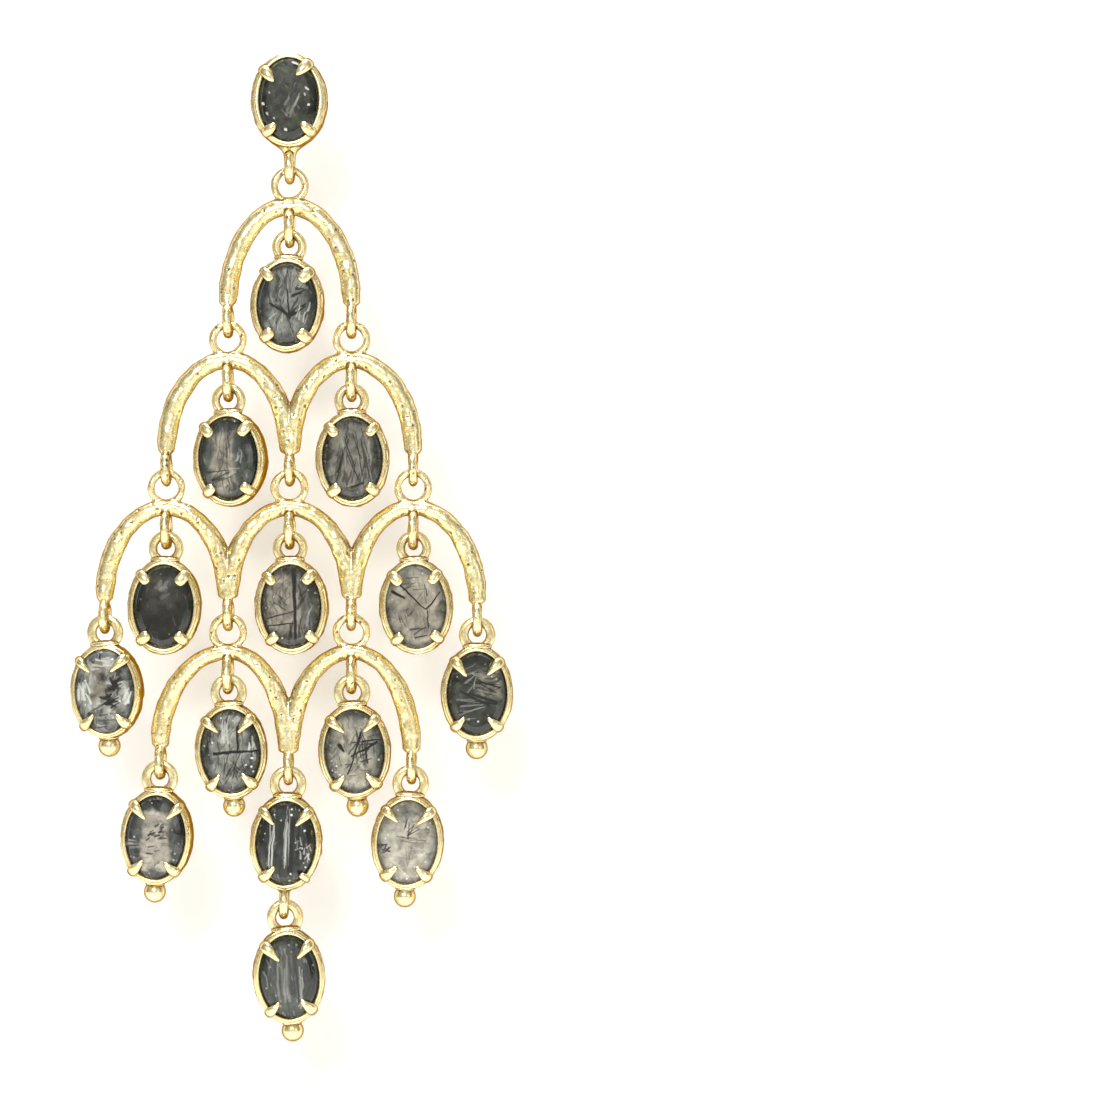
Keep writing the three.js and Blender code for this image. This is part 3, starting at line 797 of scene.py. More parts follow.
def upright_tube(name: str, level: float, sections: Sequence[Triple]) -> bpy.types.Mesh:
    """A bar that runs straight down.

    Args:
        name: The mesh's name.
        level: The height that the sections count from.
        sections: Each section's height, half width and half depth.

    Returns:
        The closed mesh.
    """
    path = [Vector((0, 0, level + height)) for height, _, _ in sections]
    return tube(name, path, Vector((1, 0, 0)), [(width, depth) for _, width, depth in sections])


def squared(share: float, power: float) -> float:
    """A cosine or sine, brought nearer to a square's outline where the power is under 1."""
    return math.copysign(abs(share) ** power, share)


def torus(
    name: str,
    hole: float,
    wire: float,
    centre: Vector,
    edge_on: bool,
    flat: float = 1.0,
    power: float = 1.0,
) -> bpy.types.Mesh:
    """A wire ring in the plane of the face, or edge-on to it.

    Args:
        name: The mesh's name.
        hole: Radius of its hole.
        wire: Diameter of its wire.
        centre: Its middle.
        edge_on: Whether it stands edge-on to the viewer.
        flat: Its thickness as a share of the wire's.
        power: Under 1 for a squarer wire.

    Returns:
        The closed mesh.
    """
    around, section = 48, 16
    rows = []
    for k in range(around):
        turn = 2 * math.pi * k / around
        out = Vector((math.cos(turn), 0, math.sin(turn)))
        row = []
        for i in range(section):
            angle = 2 * math.pi * i / section
            reach = hole + wire / 2 + wire / 2 * squared(math.cos(angle), power)
            row.append(out * reach + Vector((0, flat * wire / 2 * squared(math.sin(angle), power), 0)))
        rows.append(row)
    mesh = skin(name, rows, ring=True)
    if edge_on:
        mesh.transform(Matrix.Rotation(math.pi / 2, 4, "Z"))
    mesh.transform(Matrix.Translation(centre))
    return mesh


def ellipsoid(name: str, centre: Vector, half: Vector) -> bpy.types.Mesh:
    """A rounded lump with three half sizes."""
    around, down = 28, 16
    rows = []
    for k in range(down + 1):
        angle = math.pi * (0.04 + 0.92 * k / down)
        reach = math.sin(angle)
        row = []
        for i in range(around):
            turn = 2 * math.pi * i / around
            x, y = half.x * reach * math.cos(turn), half.y * reach * math.sin(turn)
            row.append(centre + Vector((x, y, half.z * math.cos(angle))))
        rows.append(row)
    return skin(name, rows)


def welded(name: str, meshes: Sequence[bpy.types.Mesh]) -> bpy.types.Mesh:
    """Joins closed meshes into one closed mesh, as solder does."""
    workers = []
    for k, mesh in enumerate(meshes):
        worker = bpy.data.objects.new(f"{name}_{k}", mesh)
        bpy.context.scene.collection.objects.link(worker)
        workers.append(worker)
    base = workers[0]
    for other in workers[1:]:
        modifier = base.modifiers.new("Weld", "BOOLEAN")
        modifier.operation = "UNION"
        modifier.solver = "MANIFOLD"
        modifier.object = other
    made = baked(name, base)
    for worker in workers[1:]:
        bpy.data.objects.remove(worker)
    return made


def finished(
    name: str,
    mesh: bpy.types.Mesh,
    material: bpy.types.Material,
    place: Matrix,
    body: str,
    node: str,
    crease: float,
) -> bpy.types.Object:
    """Puts a mesh in its place in the frame and hangs it on its body.

    Args:
        name: The piece's name.
        mesh: Its mesh in millimetres.
        material: Its finish.
        place: Where it goes, in millimetres.
        body: The body that it moves with.
        node: The solid that it stands for.
        crease: Edges sharper than this, in degrees, stay sharp.

    Returns:
        The piece.
    """
    mesh.transform(Matrix.Scale(MM, 4) @ place)
    mesh.materials.clear()
    mesh.materials.append(material)
    mesh.shade_smooth()
    mesh.set_sharp_from_angle(angle=math.radians(crease))
    piece = bpy.data.objects.new(name, mesh)
    bpy.context.scene.collection.objects.link(piece)
    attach(piece, body)
    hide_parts(node)
    LOG.info("%s: %d faces", name, len(mesh.polygons))
    return piece


@dataclass(frozen=True)
class GoldFinish:
    """Pale gold plate, polished or hammered.

    The recess colour is painted shade in crevices and pits, where the metal shades itself, and the rim colour
    is painted shade where the surface turns away from the viewer. Grain is the strength of the fine relief.
    """

    name: str
    light: Colour = (0.96, 0.88, 0.54)
    deep: Colour = (0.92, 0.79, 0.41)
    # Painted shade in crevices and in the hammered pits.
    painted_recess_shade: Colour = (0.17, 0.1, 0.022)
    # Painted shade where the metal turns away from the viewer; also the tint of its reflections.
    rim: Colour = (0.45, 0.26, 0.06)
    roughness: float = 0.24
    grain: float = 0.1

    def material(self) -> bpy.types.Material:
        """Builds the finish as a material."""
        material = bpy.data.materials.new(self.name)
        material.use_nodes = True
        material.node_tree.nodes.clear()
        graph = Graph(material.node_tree)
        place = graph.add("ShaderNodeTexCoord").outputs["Object"]
        patches = graph.add("ShaderNodeTexNoise", {"Vector": place, "Scale": 1100.0, "Detail": 4.0})
        brushed = graph.add("ShaderNodeTexNoise", {"Vector": place, "Scale": 6200.0, "Detail": 4.0})
        tone = graph.blend(graph.smooth_step(patches.outputs[0], 0.36, 0.66), self.light, self.deep)
        # Painted shade: the tone darkens towards the rim colour where the surface turns away from the viewer.
        facing = graph.add("ShaderNodeLayerWeight", {"Blend": 0.5}).outputs["Facing"]
        turned = graph.times(graph.smooth_step(facing, 0.26, 0.7), 0.92)
        tone = graph.blend(turned, tone, self.rim)
        # Painted shade: the recess colour where ambient occlusion finds crevices, and in the hammered pits.
        shade = graph.add("ShaderNodeAmbientOcclusion", {"Distance": 0.0006}, samples=2)
        closed = graph.minus(1.0, graph.smooth_step(shade.outputs["AO"], 0.15, 0.75))
        pit = graph.add("ShaderNodeAttribute", attribute_name="pit").outputs["Fac"]
        closed = graph.maths("MAXIMUM", closed, graph.times(pit, 0.95))
        colour = graph.blend(closed, tone, self.painted_recess_shade)
        rough = graph.add("ShaderNodeMapRange")
        smooth, coarse = self.roughness * 0.75, self.roughness * 1.3
        for index, value in enumerate((brushed.outputs[0], 0.3, 0.7, smooth, coarse)):
            graph.put(rough.inputs[index], value)
        height = graph.times(brushed.outputs[0], self.grain)
        bump = graph.add("ShaderNodeBump", {"Strength": 0.6, "Distance": 0.00004, "Height": height})
        shader = graph.add(
            "ShaderNodeBsdfPrincipled",
            {
                "Base Color": colour,
                "Metallic": 1.0,
                "Roughness": rough.outputs[0],
                "Specular Tint": (*self.rim, 1.0),
                "Normal": bump.outputs[0],
            },
        )
        graph.add("ShaderNodeOutputMaterial", {"Surface": shader.outputs[0]})
        return material


class QuartzFinish:
    """Quartz full of dark needles. Each stone gets a material of its own from one set of shared groups."""

    def __init__(self, sizes: Sizes) -> None:
        """Builds the groups that all the stones share."""
        self.sizes = sizes
        self.needle = self._needle_group()
        self.depths = self._depths_group()

    @staticmethod
    def _group(
        name: str, inputs: dict[str, tuple[str, ...]], outputs: dict[str, tuple[str, ...]]
    ) -> tuple[bpy.types.NodeTree, Graph, bpy.types.Node]:
        """Starts a shader group.

        Args:
            name: The group's name.
            inputs: The names of its inputs by kind, such as Float.
            outputs: The names of its outputs by kind.

        Returns:
            The group, its graph and its input node.
        """
        tree = bpy.data.node_groups.new(name, "ShaderNodeTree")
        for in_out, sockets in (("INPUT", inputs), ("OUTPUT", outputs)):
            for kind, labels in sockets.items():
                for label in labels:
                    tree.interface.new_socket(label, in_out=in_out, socket_type="NodeSocket" + kind)
        graph = Graph(tree)
        return tree, graph, graph.add("NodeGroupInput")

    def _needle_group(self) -> bpy.types.NodeTree:
        """A straight needle between two points, thinner towards its end."""
        tree, graph, given = self._group(
            "needle",
            {"Vector": ("Place", "Start", "End"), "Float": ("Width",)},
            {"Float": ("Mask",)},
        )
        along = graph.vector("SUBTRACT", given.outputs["End"], given.outputs["Start"])
        here = graph.vector("SUBTRACT", given.outputs["Place"], given.outputs["Start"])
        reach = graph.maths(
            "DIVIDE",
            graph.vector("DOT_PRODUCT", here, along),
            graph.vector("DOT_PRODUCT", along, along),
            clamp=True,
        )
        scaled = graph.add("ShaderNodeVectorMath", {0: along, "Scale": reach}, operation="SCALE").outputs[0]
        away = graph.vector("LENGTH", graph.vector("SUBTRACT", here, scaled))
        taper = graph.minus(0.55, graph.times(reach, 0.25))
        half = graph.times(given.outputs["Width"], taper)
        soft = graph.times(half, 1.9)
        mask = graph.minus(1.0, graph.smooth_step(away, half, graph.plus(soft, 0.02)))
        graph.add("NodeGroupOutput", {"Mask": mask})
        return tree

    def _depths_group(self) -> bpy.types.NodeTree:
        """The stone's colours: its dark edge, its window of painted see-through light, clouds, strands,
        painted facet light and shade, and painted glints.
        """
        tree, graph, given = self._group(
            "quartz_depths",
            {
                "Vector": ("Place", "Middle", "Half"),
                "Color": ("Edge", "Body", "Window"),
                "Float": ("Soft", "Grain", "Hair", "Pale", "Cloud", "Facets", "Glint paint", "Seed"),
            },
            {"Color": ("Colour",), "Vector": ("Warped",), "Float": ("Painted glint mask",)},
        )
        place = given.outputs["Place"]
        shift = graph.add("ShaderNodeCombineXYZ", {"Y": graph.times(given.outputs["Seed"], 3.7)})
        seeded = graph.vector("ADD", place, shift.outputs[0])
        shape = (2 / self.sizes.stone_width, 0.0, 2 / self.sizes.stone_height)
        out = graph.vector("LENGTH", graph.vector("MULTIPLY", place, shape))

        def noise_at(vector: object, scale: float, detail: float = 2.0) -> bpy.types.Node:
            """A noise texture at a frequency per millimetre."""
            return graph.add("ShaderNodeTexNoise", {"Vector": vector, "Scale": scale, "Detail": detail})

        def flowing(vector: object, scale: float, by: float) -> bpy.types.NodeSocket:
            """Bends the coordinates with noise."""
            bend = graph.vector("SUBTRACT", noise_at(seeded, scale).outputs["Color"], (0.5, 0.5, 0.5))
            bend = graph.vector("MULTIPLY", bend, (by, 0.0, by))
            return graph.vector("ADD", vector, bend)

        wobble = graph.minus(noise_at(seeded, 0.8).outputs[0], 0.5)
        edge = graph.smooth_step(graph.plus(out, graph.times(wobble, 0.3)), 0.62, 0.96)
        colour = graph.blend(edge, given.outputs["Body"], given.outputs["Edge"])
        # Painted see-through light: the window colour stands for light coming through the stone from behind.
        drift = flowing(place, 0.9, 1.3)
        offset = graph.vector("ABSOLUTE", graph.vector("SUBTRACT", drift, given.outputs["Middle"]))
        beyond = graph.vector("SUBTRACT", offset, given.outputs["Half"])
        beyond = graph.add("ShaderNodeSeparateXYZ", {0: beyond})
        outside = graph.maths("MAXIMUM", beyond.outputs["X"], beyond.outputs["Z"])
        through = graph.minus(1.0, graph.smooth_step(outside, -0.1, given.outputs["Soft"]))
        inner = graph.minus(1.0, graph.smooth_step(out, 0.84, 0.97))
        through = graph.times(through, inner)
        colour = graph.blend(through, colour, given.outputs["Window"])
        bent = flowing(seeded, 1.1, 0.7)
        # Painted light and shade on the facets: voronoi cells lighten or darken the colour, more towards the
        # rim.
        tones = graph.add("ShaderNodeTexVoronoi", {"Vector": bent, "Scale": 0.95, "Randomness": 0.9})
        painted_facet_shading = graph.add("ShaderNodeSeparateColor", {0: tones.outputs["Color"]}).outputs[0]
        painted_facet_shading = graph.minus(painted_facet_shading, 0.45)
        painted_facet_shading = graph.times(graph.times(painted_facet_shading, given.outputs["Facets"]), 1.5)
        rimmed = graph.smooth_step(out, 0.5, 0.75)
        painted_facet_shading = graph.times(painted_facet_shading, graph.plus(0.35, graph.times(rimmed, 0.65)))
        clouds = graph.minus(noise_at(bent, 1.3, 5.0).outputs[0], 0.5)
        cloud = graph.times(graph.times(clouds, given.outputs["Cloud"]), 4.5)
        facet_shading_and_cloud = graph.maths("MAXIMUM", graph.plus(graph.plus(painted_facet_shading, cloud), 1.0), 0.2)
        colour = graph.add("ShaderNodeVectorMath", {0: colour, "Scale": facet_shading_and_cloud}, operation="SCALE").outputs[0]

        def strands(turn: float, stretch: Triple, low: float, high: float) -> bpy.types.NodeSocket:
            """Long soft strands that lie along the grain, turned a little from it."""
            angle = graph.plus(given.outputs["Grain"], math.radians(turn))
            turned = graph.add(
                "ShaderNodeVectorRotate",
                {"Vector": bent, "Axis": (0.0, 1.0, 0.0), "Angle": angle},
                rotation_type="AXIS_ANGLE",
            ).outputs[0]
            field = noise_at(graph.vector("MULTIPLY", turned, stretch), 1.0, 3.0).outputs[0]
            return graph.smooth_step(field, low, high)

        along = strands(4, (3.6, 1.0, 0.42), 0.55, 0.65)
        crossing = strands(-32, (4.6, 1.0, 0.6), 0.59, 0.67)
        dark = graph.maths("MAXIMUM", along, crossing)
        dark = graph.maths("MULTIPLY", dark, given.outputs["Hair"], clamp=True)
        colour = graph.blend(dark, colour, STRAND_DARK)
        light = graph.times(strands(11, (4.2, 1.0, 0.7), 0.62, 0.7), given.outputs["Pale"])
        light = graph.maths("MULTIPLY", graph.times(light, inner), 0.5, clamp=True)
        colour = graph.blend(light, colour, STRAND_PALE)
        # Painted glints: small bright spots towards the rim, where a facet would catch a lamp.
        points = graph.add("ShaderNodeTexVoronoi", {"Vector": seeded, "Scale": 2.3})
        near = graph.minus(1.0, graph.smooth_step(points.outputs["Distance"], 0.12, 0.3))
        lucky = graph.add("ShaderNodeSeparateColor", {0: points.outputs["Color"]}).outputs[1]
        near = graph.times(near, graph.smooth_step(lucky, 0.74, 0.78))
        near = graph.times(near, graph.smooth_step(out, 0.5, 0.66))
        near = graph.times(near, inner)
        painted_glint_mask = graph.times(near, given.outputs["Glint paint"])
        warped = flowing(flowing(place, 0.8, 0.34), 3.0, 0.035)
        graph.add("NodeGroupOutput", {"Colour": colour, "Warped": warped, "Painted glint mask": painted_glint_mask})
        return tree

    def material(
        self, name: str, look: StoneLook, middle: Vector, turn: float, lean: float
    ) -> bpy.types.Material:
        """Builds one stone's material.

        Args:
            name: The material's name.
            look: Its colours and needles.
            middle: The stone's middle in millimetres.
            turn: Its turn about the upright, in degrees.
            lean: Its lean to the right, in degrees.

        Returns:
            The material.
        """
        material = bpy.data.materials.new(name)
        material.use_nodes = True
        material.node_tree.nodes.clear()
        graph = Graph(material.node_tree)
        place = graph.add(
            "ShaderNodeMapping",
            {
                "Vector": graph.add("ShaderNodeTexCoord").outputs["Object"],
                "Location": middle * MM,
                "Rotation": (0.0, math.radians(-lean), math.radians(turn)),
                "Scale": (MM, MM, MM),
            },
            vector_type="TEXTURE",
        ).outputs[0]
        flat = graph.vector("MULTIPLY", place, (1.0, 0.0, 1.0))
        cx, cz, hw, hh = look.window_box
        depths = graph.add("ShaderNodeGroup", node_tree=self.depths)
        for label, value in (
            ("Place", flat),
            ("Edge", (*look.edge, 1.0)),
            ("Body", (*look.body, 1.0)),
            ("Window", (*look.window, 1.0)),
            ("Middle", (cx, 0.0, cz)),
            ("Half", (hw, 0.0, hh)),
            ("Soft", look.window_soft),
            ("Grain", math.radians(look.grain)),
            ("Hair", look.hair),
            ("Pale", look.pale),
            ("Cloud", look.cloud),
            ("Facets", look.facets),
            ("Glint paint", look.glint_paint),
            ("Seed", float(look.seed)),
        ):
            graph.put(depths.inputs[label], value)
        colour, warped, painted_glint_mask = depths.outputs
        for needle in look.all_needles():
            mask = graph.add("ShaderNodeGroup", node_tree=self.needle)
            graph.put(mask.inputs["Place"], warped)
            graph.put(mask.inputs["Start"], (needle.start[0], 0.0, needle.start[1]))
            graph.put(mask.inputs["End"], (needle.end[0], 0.0, needle.end[1]))
            graph.put(mask.inputs["Width"], needle.width * NEEDLE_SHARE)
            tone = NEEDLE_TONE if needle.dark > 0 else PALE_STREAK_AND_GLINT_TONE
            colour = graph.blend(graph.times(mask.outputs[0], abs(needle.dark)), colour, tone)
        # Painted glints over the stone's colour.
        colour = graph.blend(painted_glint_mask, colour, PAINTED_GLINT_TONE)
        shader = graph.add(
            "ShaderNodeBsdfPrincipled",
            {"Base Color": colour, "Roughness": 0.1, "IOR": 1.54, "Coat Weight": 0.3, "Coat Roughness": 0.03},
        )
        graph.add("ShaderNodeOutputMaterial", {"Surface": shader.outputs[0]})
        return material


@dataclass
class OvalStone:
    """A flat-topped oval stone with facets round its crown and back."""

    sizes: Sizes
    sides: int = 24

    def mesh(self, name: str, front: float) -> bpy.types.Mesh:
        """Builds the stone round its own middle.

        Args:
            name: The mesh's name.
            front: Depth of the front of the band that it sits in.

        Returns:
            The closed mesh.
        """
        s = self.sizes
        girdle = front + s.girdle_sink
        back = girdle + s.stone_girdle
        half_width, half_height = s.stone_width / 2, s.stone_height / 2
        rows = []
        for width, height, depth, shift in (
            (0.72, 0.8, girdle - s.stone_crown, 0.0),
            (0.88, 0.92, girdle - 0.56 * s.stone_crown, 0.5),
            (1.0, 1.0, girdle, 0.0),
            (1.0, 1.0, back, 0.0),
            (0.72, 0.82, back + 0.5 * s.stone_pavilion, 0.5),
            (0.42, 0.66, back + s.stone_pavilion, 0.0),
        ):
            row = []
            for k in range(self.sides):
                angle = 2 * math.pi * (k + shift) / self.sides
                x, z = half_width * width * math.cos(angle), half_height * height * math.sin(angle)
                row.append(Vector((x, depth, z)))
            rows.append(row)
        return skin(name, rows)


# A claw's sections from its root to its tip: how far along, how far forward, and its half width and half
# thickness. The width and the way along are shares of the claw's own, the others are millimetres.
CLAW_SECTIONS = {
    ClawKind.BEAD: (
        (-0.34, -0.55, 0.5, 0.14),
        (-0.46, -0.22, 0.72, 0.2),
        (-0.44, 0.08, 0.86, 0.23),
        (-0.26, 0.33, 0.96, 0.24),
        (0.1, 0.47, 1.0, 0.24),
        (0.5, 0.54, 1.0, 0.23),
        (0.78, 0.56, 0.9, 0.2),
        (0.94, 0.55, 0.66, 0.14),
        (1.0, 0.53, 0.3, 0.06),
    ),
    ClawKind.POINT: (
        (-0.34, -0.55, 0.5, 0.14),
        (-0.46, -0.22, 0.74, 0.2),
        (-0.43, 0.08, 0.94, 0.24),
        (-0.22, 0.36, 1.05, 0.27),
        (0.06, 0.52, 1.0, 0.27),
        (0.28, 0.6, 0.84, 0.24),
        (0.52, 0.63, 0.64, 0.19),
        (0.76, 0.62, 0.48, 0.16),
        (0.93, 0.59, 0.33, 0.12),
        (1.0, 0.56, 0.15, 0.06),
    ),
    ClawKind.SHORT: (
        (-0.34, -0.55, 0.5, 0.14),
        (-0.46, -0.22, 0.74, 0.2),
        (-0.43, 0.08, 0.94, 0.24),
        (-0.22, 0.36, 1.0, 0.27),
        (0.1, 0.52, 0.98, 0.27),
        (0.45, 0.6, 0.84, 0.24),
        (0.75, 0.62, 0.6, 0.19),
        (0.92, 0.6, 0.38, 0.13),
        (1.0, 0.57, 0.18, 0.06),
    ),
}
CLAW_REACH_AND_WIDTH = {
    ClawKind.BEAD: (0.8, 0.46),
    ClawKind.POINT: (1.28, 0.43),
    ClawKind.SHORT: (1.15, 0.5),
}
CLAW_PLACES = (46, 46, 50, 49)
STUD_CLAW_PLACES = (41, 53, 50, 48)


@dataclass
class Setting:
    """An oval band with its claws."""

    sizes: Sizes
    rim: float
    rim_side: float
    depth: float
    around: int = 88

    def profile(self) -> list[tuple[float, float, float]]:
        """The band's section: how far outside the stone, how deep, and how much the hammer moves it."""
        f, b, r = -self.depth / 2, self.depth / 2, self.rim
        return [
            (-0.01, f + 0.06, 0.0),
            (0.03, f + 0.0, 0.0),
            (0.09, f - 0.03, 0.1),
            (r * 0.4, f - 0.03, 0.2),
            (r * 0.52, f + 0.02, 0.2),
            (r * 0.6, f + 0.12, 0.3),
            (r * 0.7, f + 0.17, 0.5),
            (r * 0.9, f + 0.2, 0.9),
            (r * 1.03, f + 0.36, 1.0),
            (r * 1.12, f + 0.7, 1.0),
            (r * 1.14, f + 1.1, 1.0),
            (r * 1.1, f + 1.55, 1.0),
            (r * 0.95, b - 0.35, 1.0),
            (r * 0.78, b - 0.08, 0.4),
            (r * 0.6, b, 0.0),
            (r - 0.62, b, 0.0),
            (r - 0.7, b - 0.1, 0.0),
            (-0.17, f + 1.5, 0.0),
            (0.055, f + 0.34, 0.0),
            (0.055, f + 0.12, 0.0),
        ]

    def band(self, name: str, seed: float) -> bpy.types.Mesh:
        """The oval band, its outer wall hammered."""
        s = self.sizes
        rows = []
        extra = self.rim_side - self.rim
        for out, depth, hammer in self.profile():
            side = out + (extra * min(1.0, max(0.0, out / self.rim)) if out > 0.06 else 0.0)
            row = oval(s.stone_width / 2 + side, s.stone_height / 2 + out, depth, self.around)
            if hammer:
                for point in row:
                    dent = noise.noise(point * 1.5 + Vector((seed, 0, seed))) * 0.07
                    dent += noise.noise(point * 3.6 + Vector((0, seed, 0))) * 0.045
                    point += Vector((point.x, 0, point.z)).normalized() * (dent * hammer)
            rows.append(row)
        return skin(name, rows, ring=True)

    def claw(
        self, name: str, kind: ClawKind, corner: tuple[int, int], where: float, seed: float, worn: bool
    ) -> bpy.types.Mesh:
        """One claw, bent over the stone from its root in the band.

        Args:
            name: The mesh's name.
            kind: How it ends.
            corner: Its side and end of the stone, each 1 or -1.
            where: The root's place round the stone, in degrees up or down from the side.
            seed: Varies its length and lean.
            worn: Whether it is worn down to a bead.

        Returns:
            The closed mesh.
        """
        s = self.sizes
        side, end = corner
        wander = noise.noise(Vector((seed, side * 3.1, end * 5.3)))
        place = math.radians(where + 3 * wander)
        aim = math.radians((47 if end > 0 else 43) + 9 * noise.noise(Vector((side * 2.3, seed, end * 1.9))))
        reach, width = CLAW_REACH_AND_WIDTH[kind]
        reach *= (1.0 if end > 0 else 0.8) * (1 + 0.25 * wander)
        width *= 1 + 0.2 * wander
        if worn:
            reach, kind, width = 0.3, ClawKind.BEAD, 0.3
        front = -self.depth / 2
        out, up = side * s.stone_width / 2 * math.cos(place), end * s.stone_height / 2 * math.sin(place)
        root = Vector((out, front, up))
        inwards = Vector((-side * math.cos(aim), 0, -end * math.sin(aim)))
        across = Vector((0, -1, 0)).cross(inwards).normalized()
        path = []
        halves = []
        for along, rise, wide, thick in CLAW_SECTIONS[kind]:
            span = along * (reach if along > 0 else 1.0)
            path.append(root + inwards * span + Vector((0, -rise, 0)))
            halves.append((width * wide, thick))
        return tube(name, path, across, halves)

    def claws(self, name: str, kind: ClawKind, seed: float, worn_claw: int = -1) -> list[bpy.types.Mesh]:
        """The four claws, those of the stud a little to one side."""
        corners = ((-1, 1), (1, 1), (-1, -1), (1, -1))
        places = STUD_CLAW_PLACES if kind is ClawKind.SHORT else CLAW_PLACES
        return [
            self.claw(f"{name}_claw_{k}", kind, corner, places[k], seed + 7.7 * k, k == worn_claw)
            for k, corner in enumerate(corners)
        ]


class GeometryTrees:
    """The Geometry Nodes trees that make the arches' bars, their rings and their hammered skin."""

    def __init__(self) -> None:
        """Builds the three trees."""
        self.bar, self.bar_inputs = self._bar()
        self.links, self.link_inputs = self._links()
        self.skin, self.skin_inputs = self._skin()

    @staticmethod
    def _bar() -> tuple[bpy.types.NodeTree, dict[str, str]]:
        """A bar bent to half an ellipse, its crown's middle at the origin."""
        graph, given, identifiers = geometry_tree(
            "arch bar",
            (
                ("Steps", "NodeSocketInt", 64),
                ("Reach left", "NodeSocketFloat", 5.0),
                ("Reach right", "NodeSocketFloat", 5.0),
                ("Rise left", "NodeSocketFloat", 7.5),
                ("Rise right", "NodeSocketFloat", 7.5),
                ("Leg width", "NodeSocketFloat", 1.6),
                ("Crown width", "NodeSocketFloat", 1.4),
                ("Depth", "NodeSocketFloat", 1.5),
                ("Foot round", "NodeSocketFloat", 0.2),
                ("Gold", "NodeSocketMaterial", None),
            ),
        )
        value = given.outputs
        line = graph.add("GeometryNodeCurvePrimitiveLine", {"End": (1.0, 0.0, 0.0)})
        fine = graph.add("GeometryNodeResampleCurve", {"Curve": line.outputs[0], "Count": value["Steps"]})
        index = graph.add("GeometryNodeInputIndex").outputs[0]
        last = graph.minus(value["Steps"], 1.0)
        steps = graph.minus(last, 2.0)
        inner = graph.maths("DIVIDE", graph.minus(index, 1.0), steps, clamp=True)
        angle = graph.times(inner, math.pi)
        cosine, sine = graph.maths("COSINE", angle), graph.maths("SINE", angle)
        is_left = graph.maths("GREATER_THAN", cosine, 0.0)

        def by_side(left: object, right: object) -> bpy.types.NodeSocket:
            """Picks the left or the right value."""
            switch = graph.add("GeometryNodeSwitch", {0: is_left}, input_type="FLOAT")
            graph.put(switch.inputs[1], right)
            graph.put(switch.inputs[2], left)
            return switch.outputs[0]

        reach = by_side(value["Reach left"], value["Reach right"])
        rise = by_side(value["Rise left"], value["Rise right"])
        is_last = graph.maths("GREATER_THAN", index, graph.minus(last, 0.5))
        at_end = graph.plus(graph.maths("LESS_THAN", index, 0.5), is_last)
        x = graph.times(graph.times(cosine, reach), -1.0)
        z = graph.times(graph.minus(sine, 1.0), rise)
        z = graph.minus(z, graph.times(at_end, value["Foot round"]))
        place = graph.add("ShaderNodeCombineXYZ", {"X": x, "Z": z}).outputs[0]
        bent = graph.add("GeometryNodeSetPosition", {"Geometry": fine.outputs[0], "Position": place})
        high = graph.smooth_step(sine, 0.5, 1.0)
        width = graph.plus(
            graph.times(value["Leg width"], graph.minus(1.0, high)),
            graph.times(value["Crown width"], high),
        )
        foot = graph.smooth_step(sine, -0.02, 0.16)
        width = graph.times(width, graph.plus(0.88, graph.times(foot, 0.12)))
        rounding = graph.minus(1.0, graph.times(at_end, 0.3))
        width = graph.times(width, rounding)
        radius = graph.times(width, 0.5)
        kept = graph.store(bent.outputs[0], "bar_width", width)
        sized = graph.add("GeometryNodeSetCurveRadius", {"Curve": kept, "Radius": radius})
        section = graph.add("GeometryNodeCurvePrimitiveCircle", {"Resolution": 20, "Radius": 1.0})
        solid = graph.add(
            "GeometryNodeCurveToMesh",
            {"Curve": sized.outputs[0], "Profile Curve": section.outputs[0], "Fill Caps": True},
        )
        if "Scale" in solid.inputs:
            graph.put(solid.inputs["Scale"], radius)
        there = graph.add("GeometryNodeInputPosition").outputs[0]
        width_here = graph.add("GeometryNodeInputNamedAttribute", {"Name": "bar_width"}, data_type="FLOAT")
        fatten = graph.maths("DIVIDE", value["Depth"], graph.maths("MAXIMUM", width_here.outputs[0], 1.0))
        stretch = graph.add("ShaderNodeCombineXYZ", {"X": 1.0, "Y": fatten, "Z": 1.0}).outputs[0]
        deep = graph.add(
            "GeometryNodeSetPosition",
            {"Geometry": solid.outputs[0], "Position": graph.vector("MULTIPLY", there, stretch)},
        )
        close_tree(graph, deep.outputs[0], value["Gold"])
        return graph.tree, identifiers

    @staticmethod
    def _links() -> tuple[bpy.types.NodeTree, dict[str, str]]:
        """One wire ring on every vertex of the input, in the plane of the face or edge-on to it."""
        graph, given, identifiers = geometry_tree(
            "wire rings",
            (
                ("Hole radius", "NodeSocketFloat", 1.0),
                ("Wire", "NodeSocketFloat", 0.6),
                ("Turn", "NodeSocketFloat", 0.0),
                ("Gold", "NodeSocketMaterial", None),
            ),
        )
        value = given.outputs
        half = graph.times(value["Wire"], 0.5)
        loop = graph.add(
            "GeometryNodeCurvePrimitiveCircle",
            {"Resolution": 40, "Radius": graph.plus(value["Hole radius"], half)},
        )
        wire = graph.add("GeometryNodeCurvePrimitiveCircle", {"Resolution": 16, "Radius": half})
        ring = graph.add(
            "GeometryNodeCurveToMesh", {"Curve": loop.outputs[0], "Profile Curve": wire.outputs[0]}
        )
        points = graph.add("GeometryNodeMeshToPoints", {"Mesh": value["Geometry"]})
        turn = graph.add("ShaderNodeCombineXYZ", {"X": math.pi / 2, "Z": value["Turn"]}).outputs[0]
        placed = graph.add(
            "GeometryNodeInstanceOnPoints",
            {"Points": points.outputs[0], "Instance": ring.outputs[0], "Rotation": turn},
        )
        close_tree(graph, placed.outputs[0], value["Gold"])
        return graph.tree, identifiers

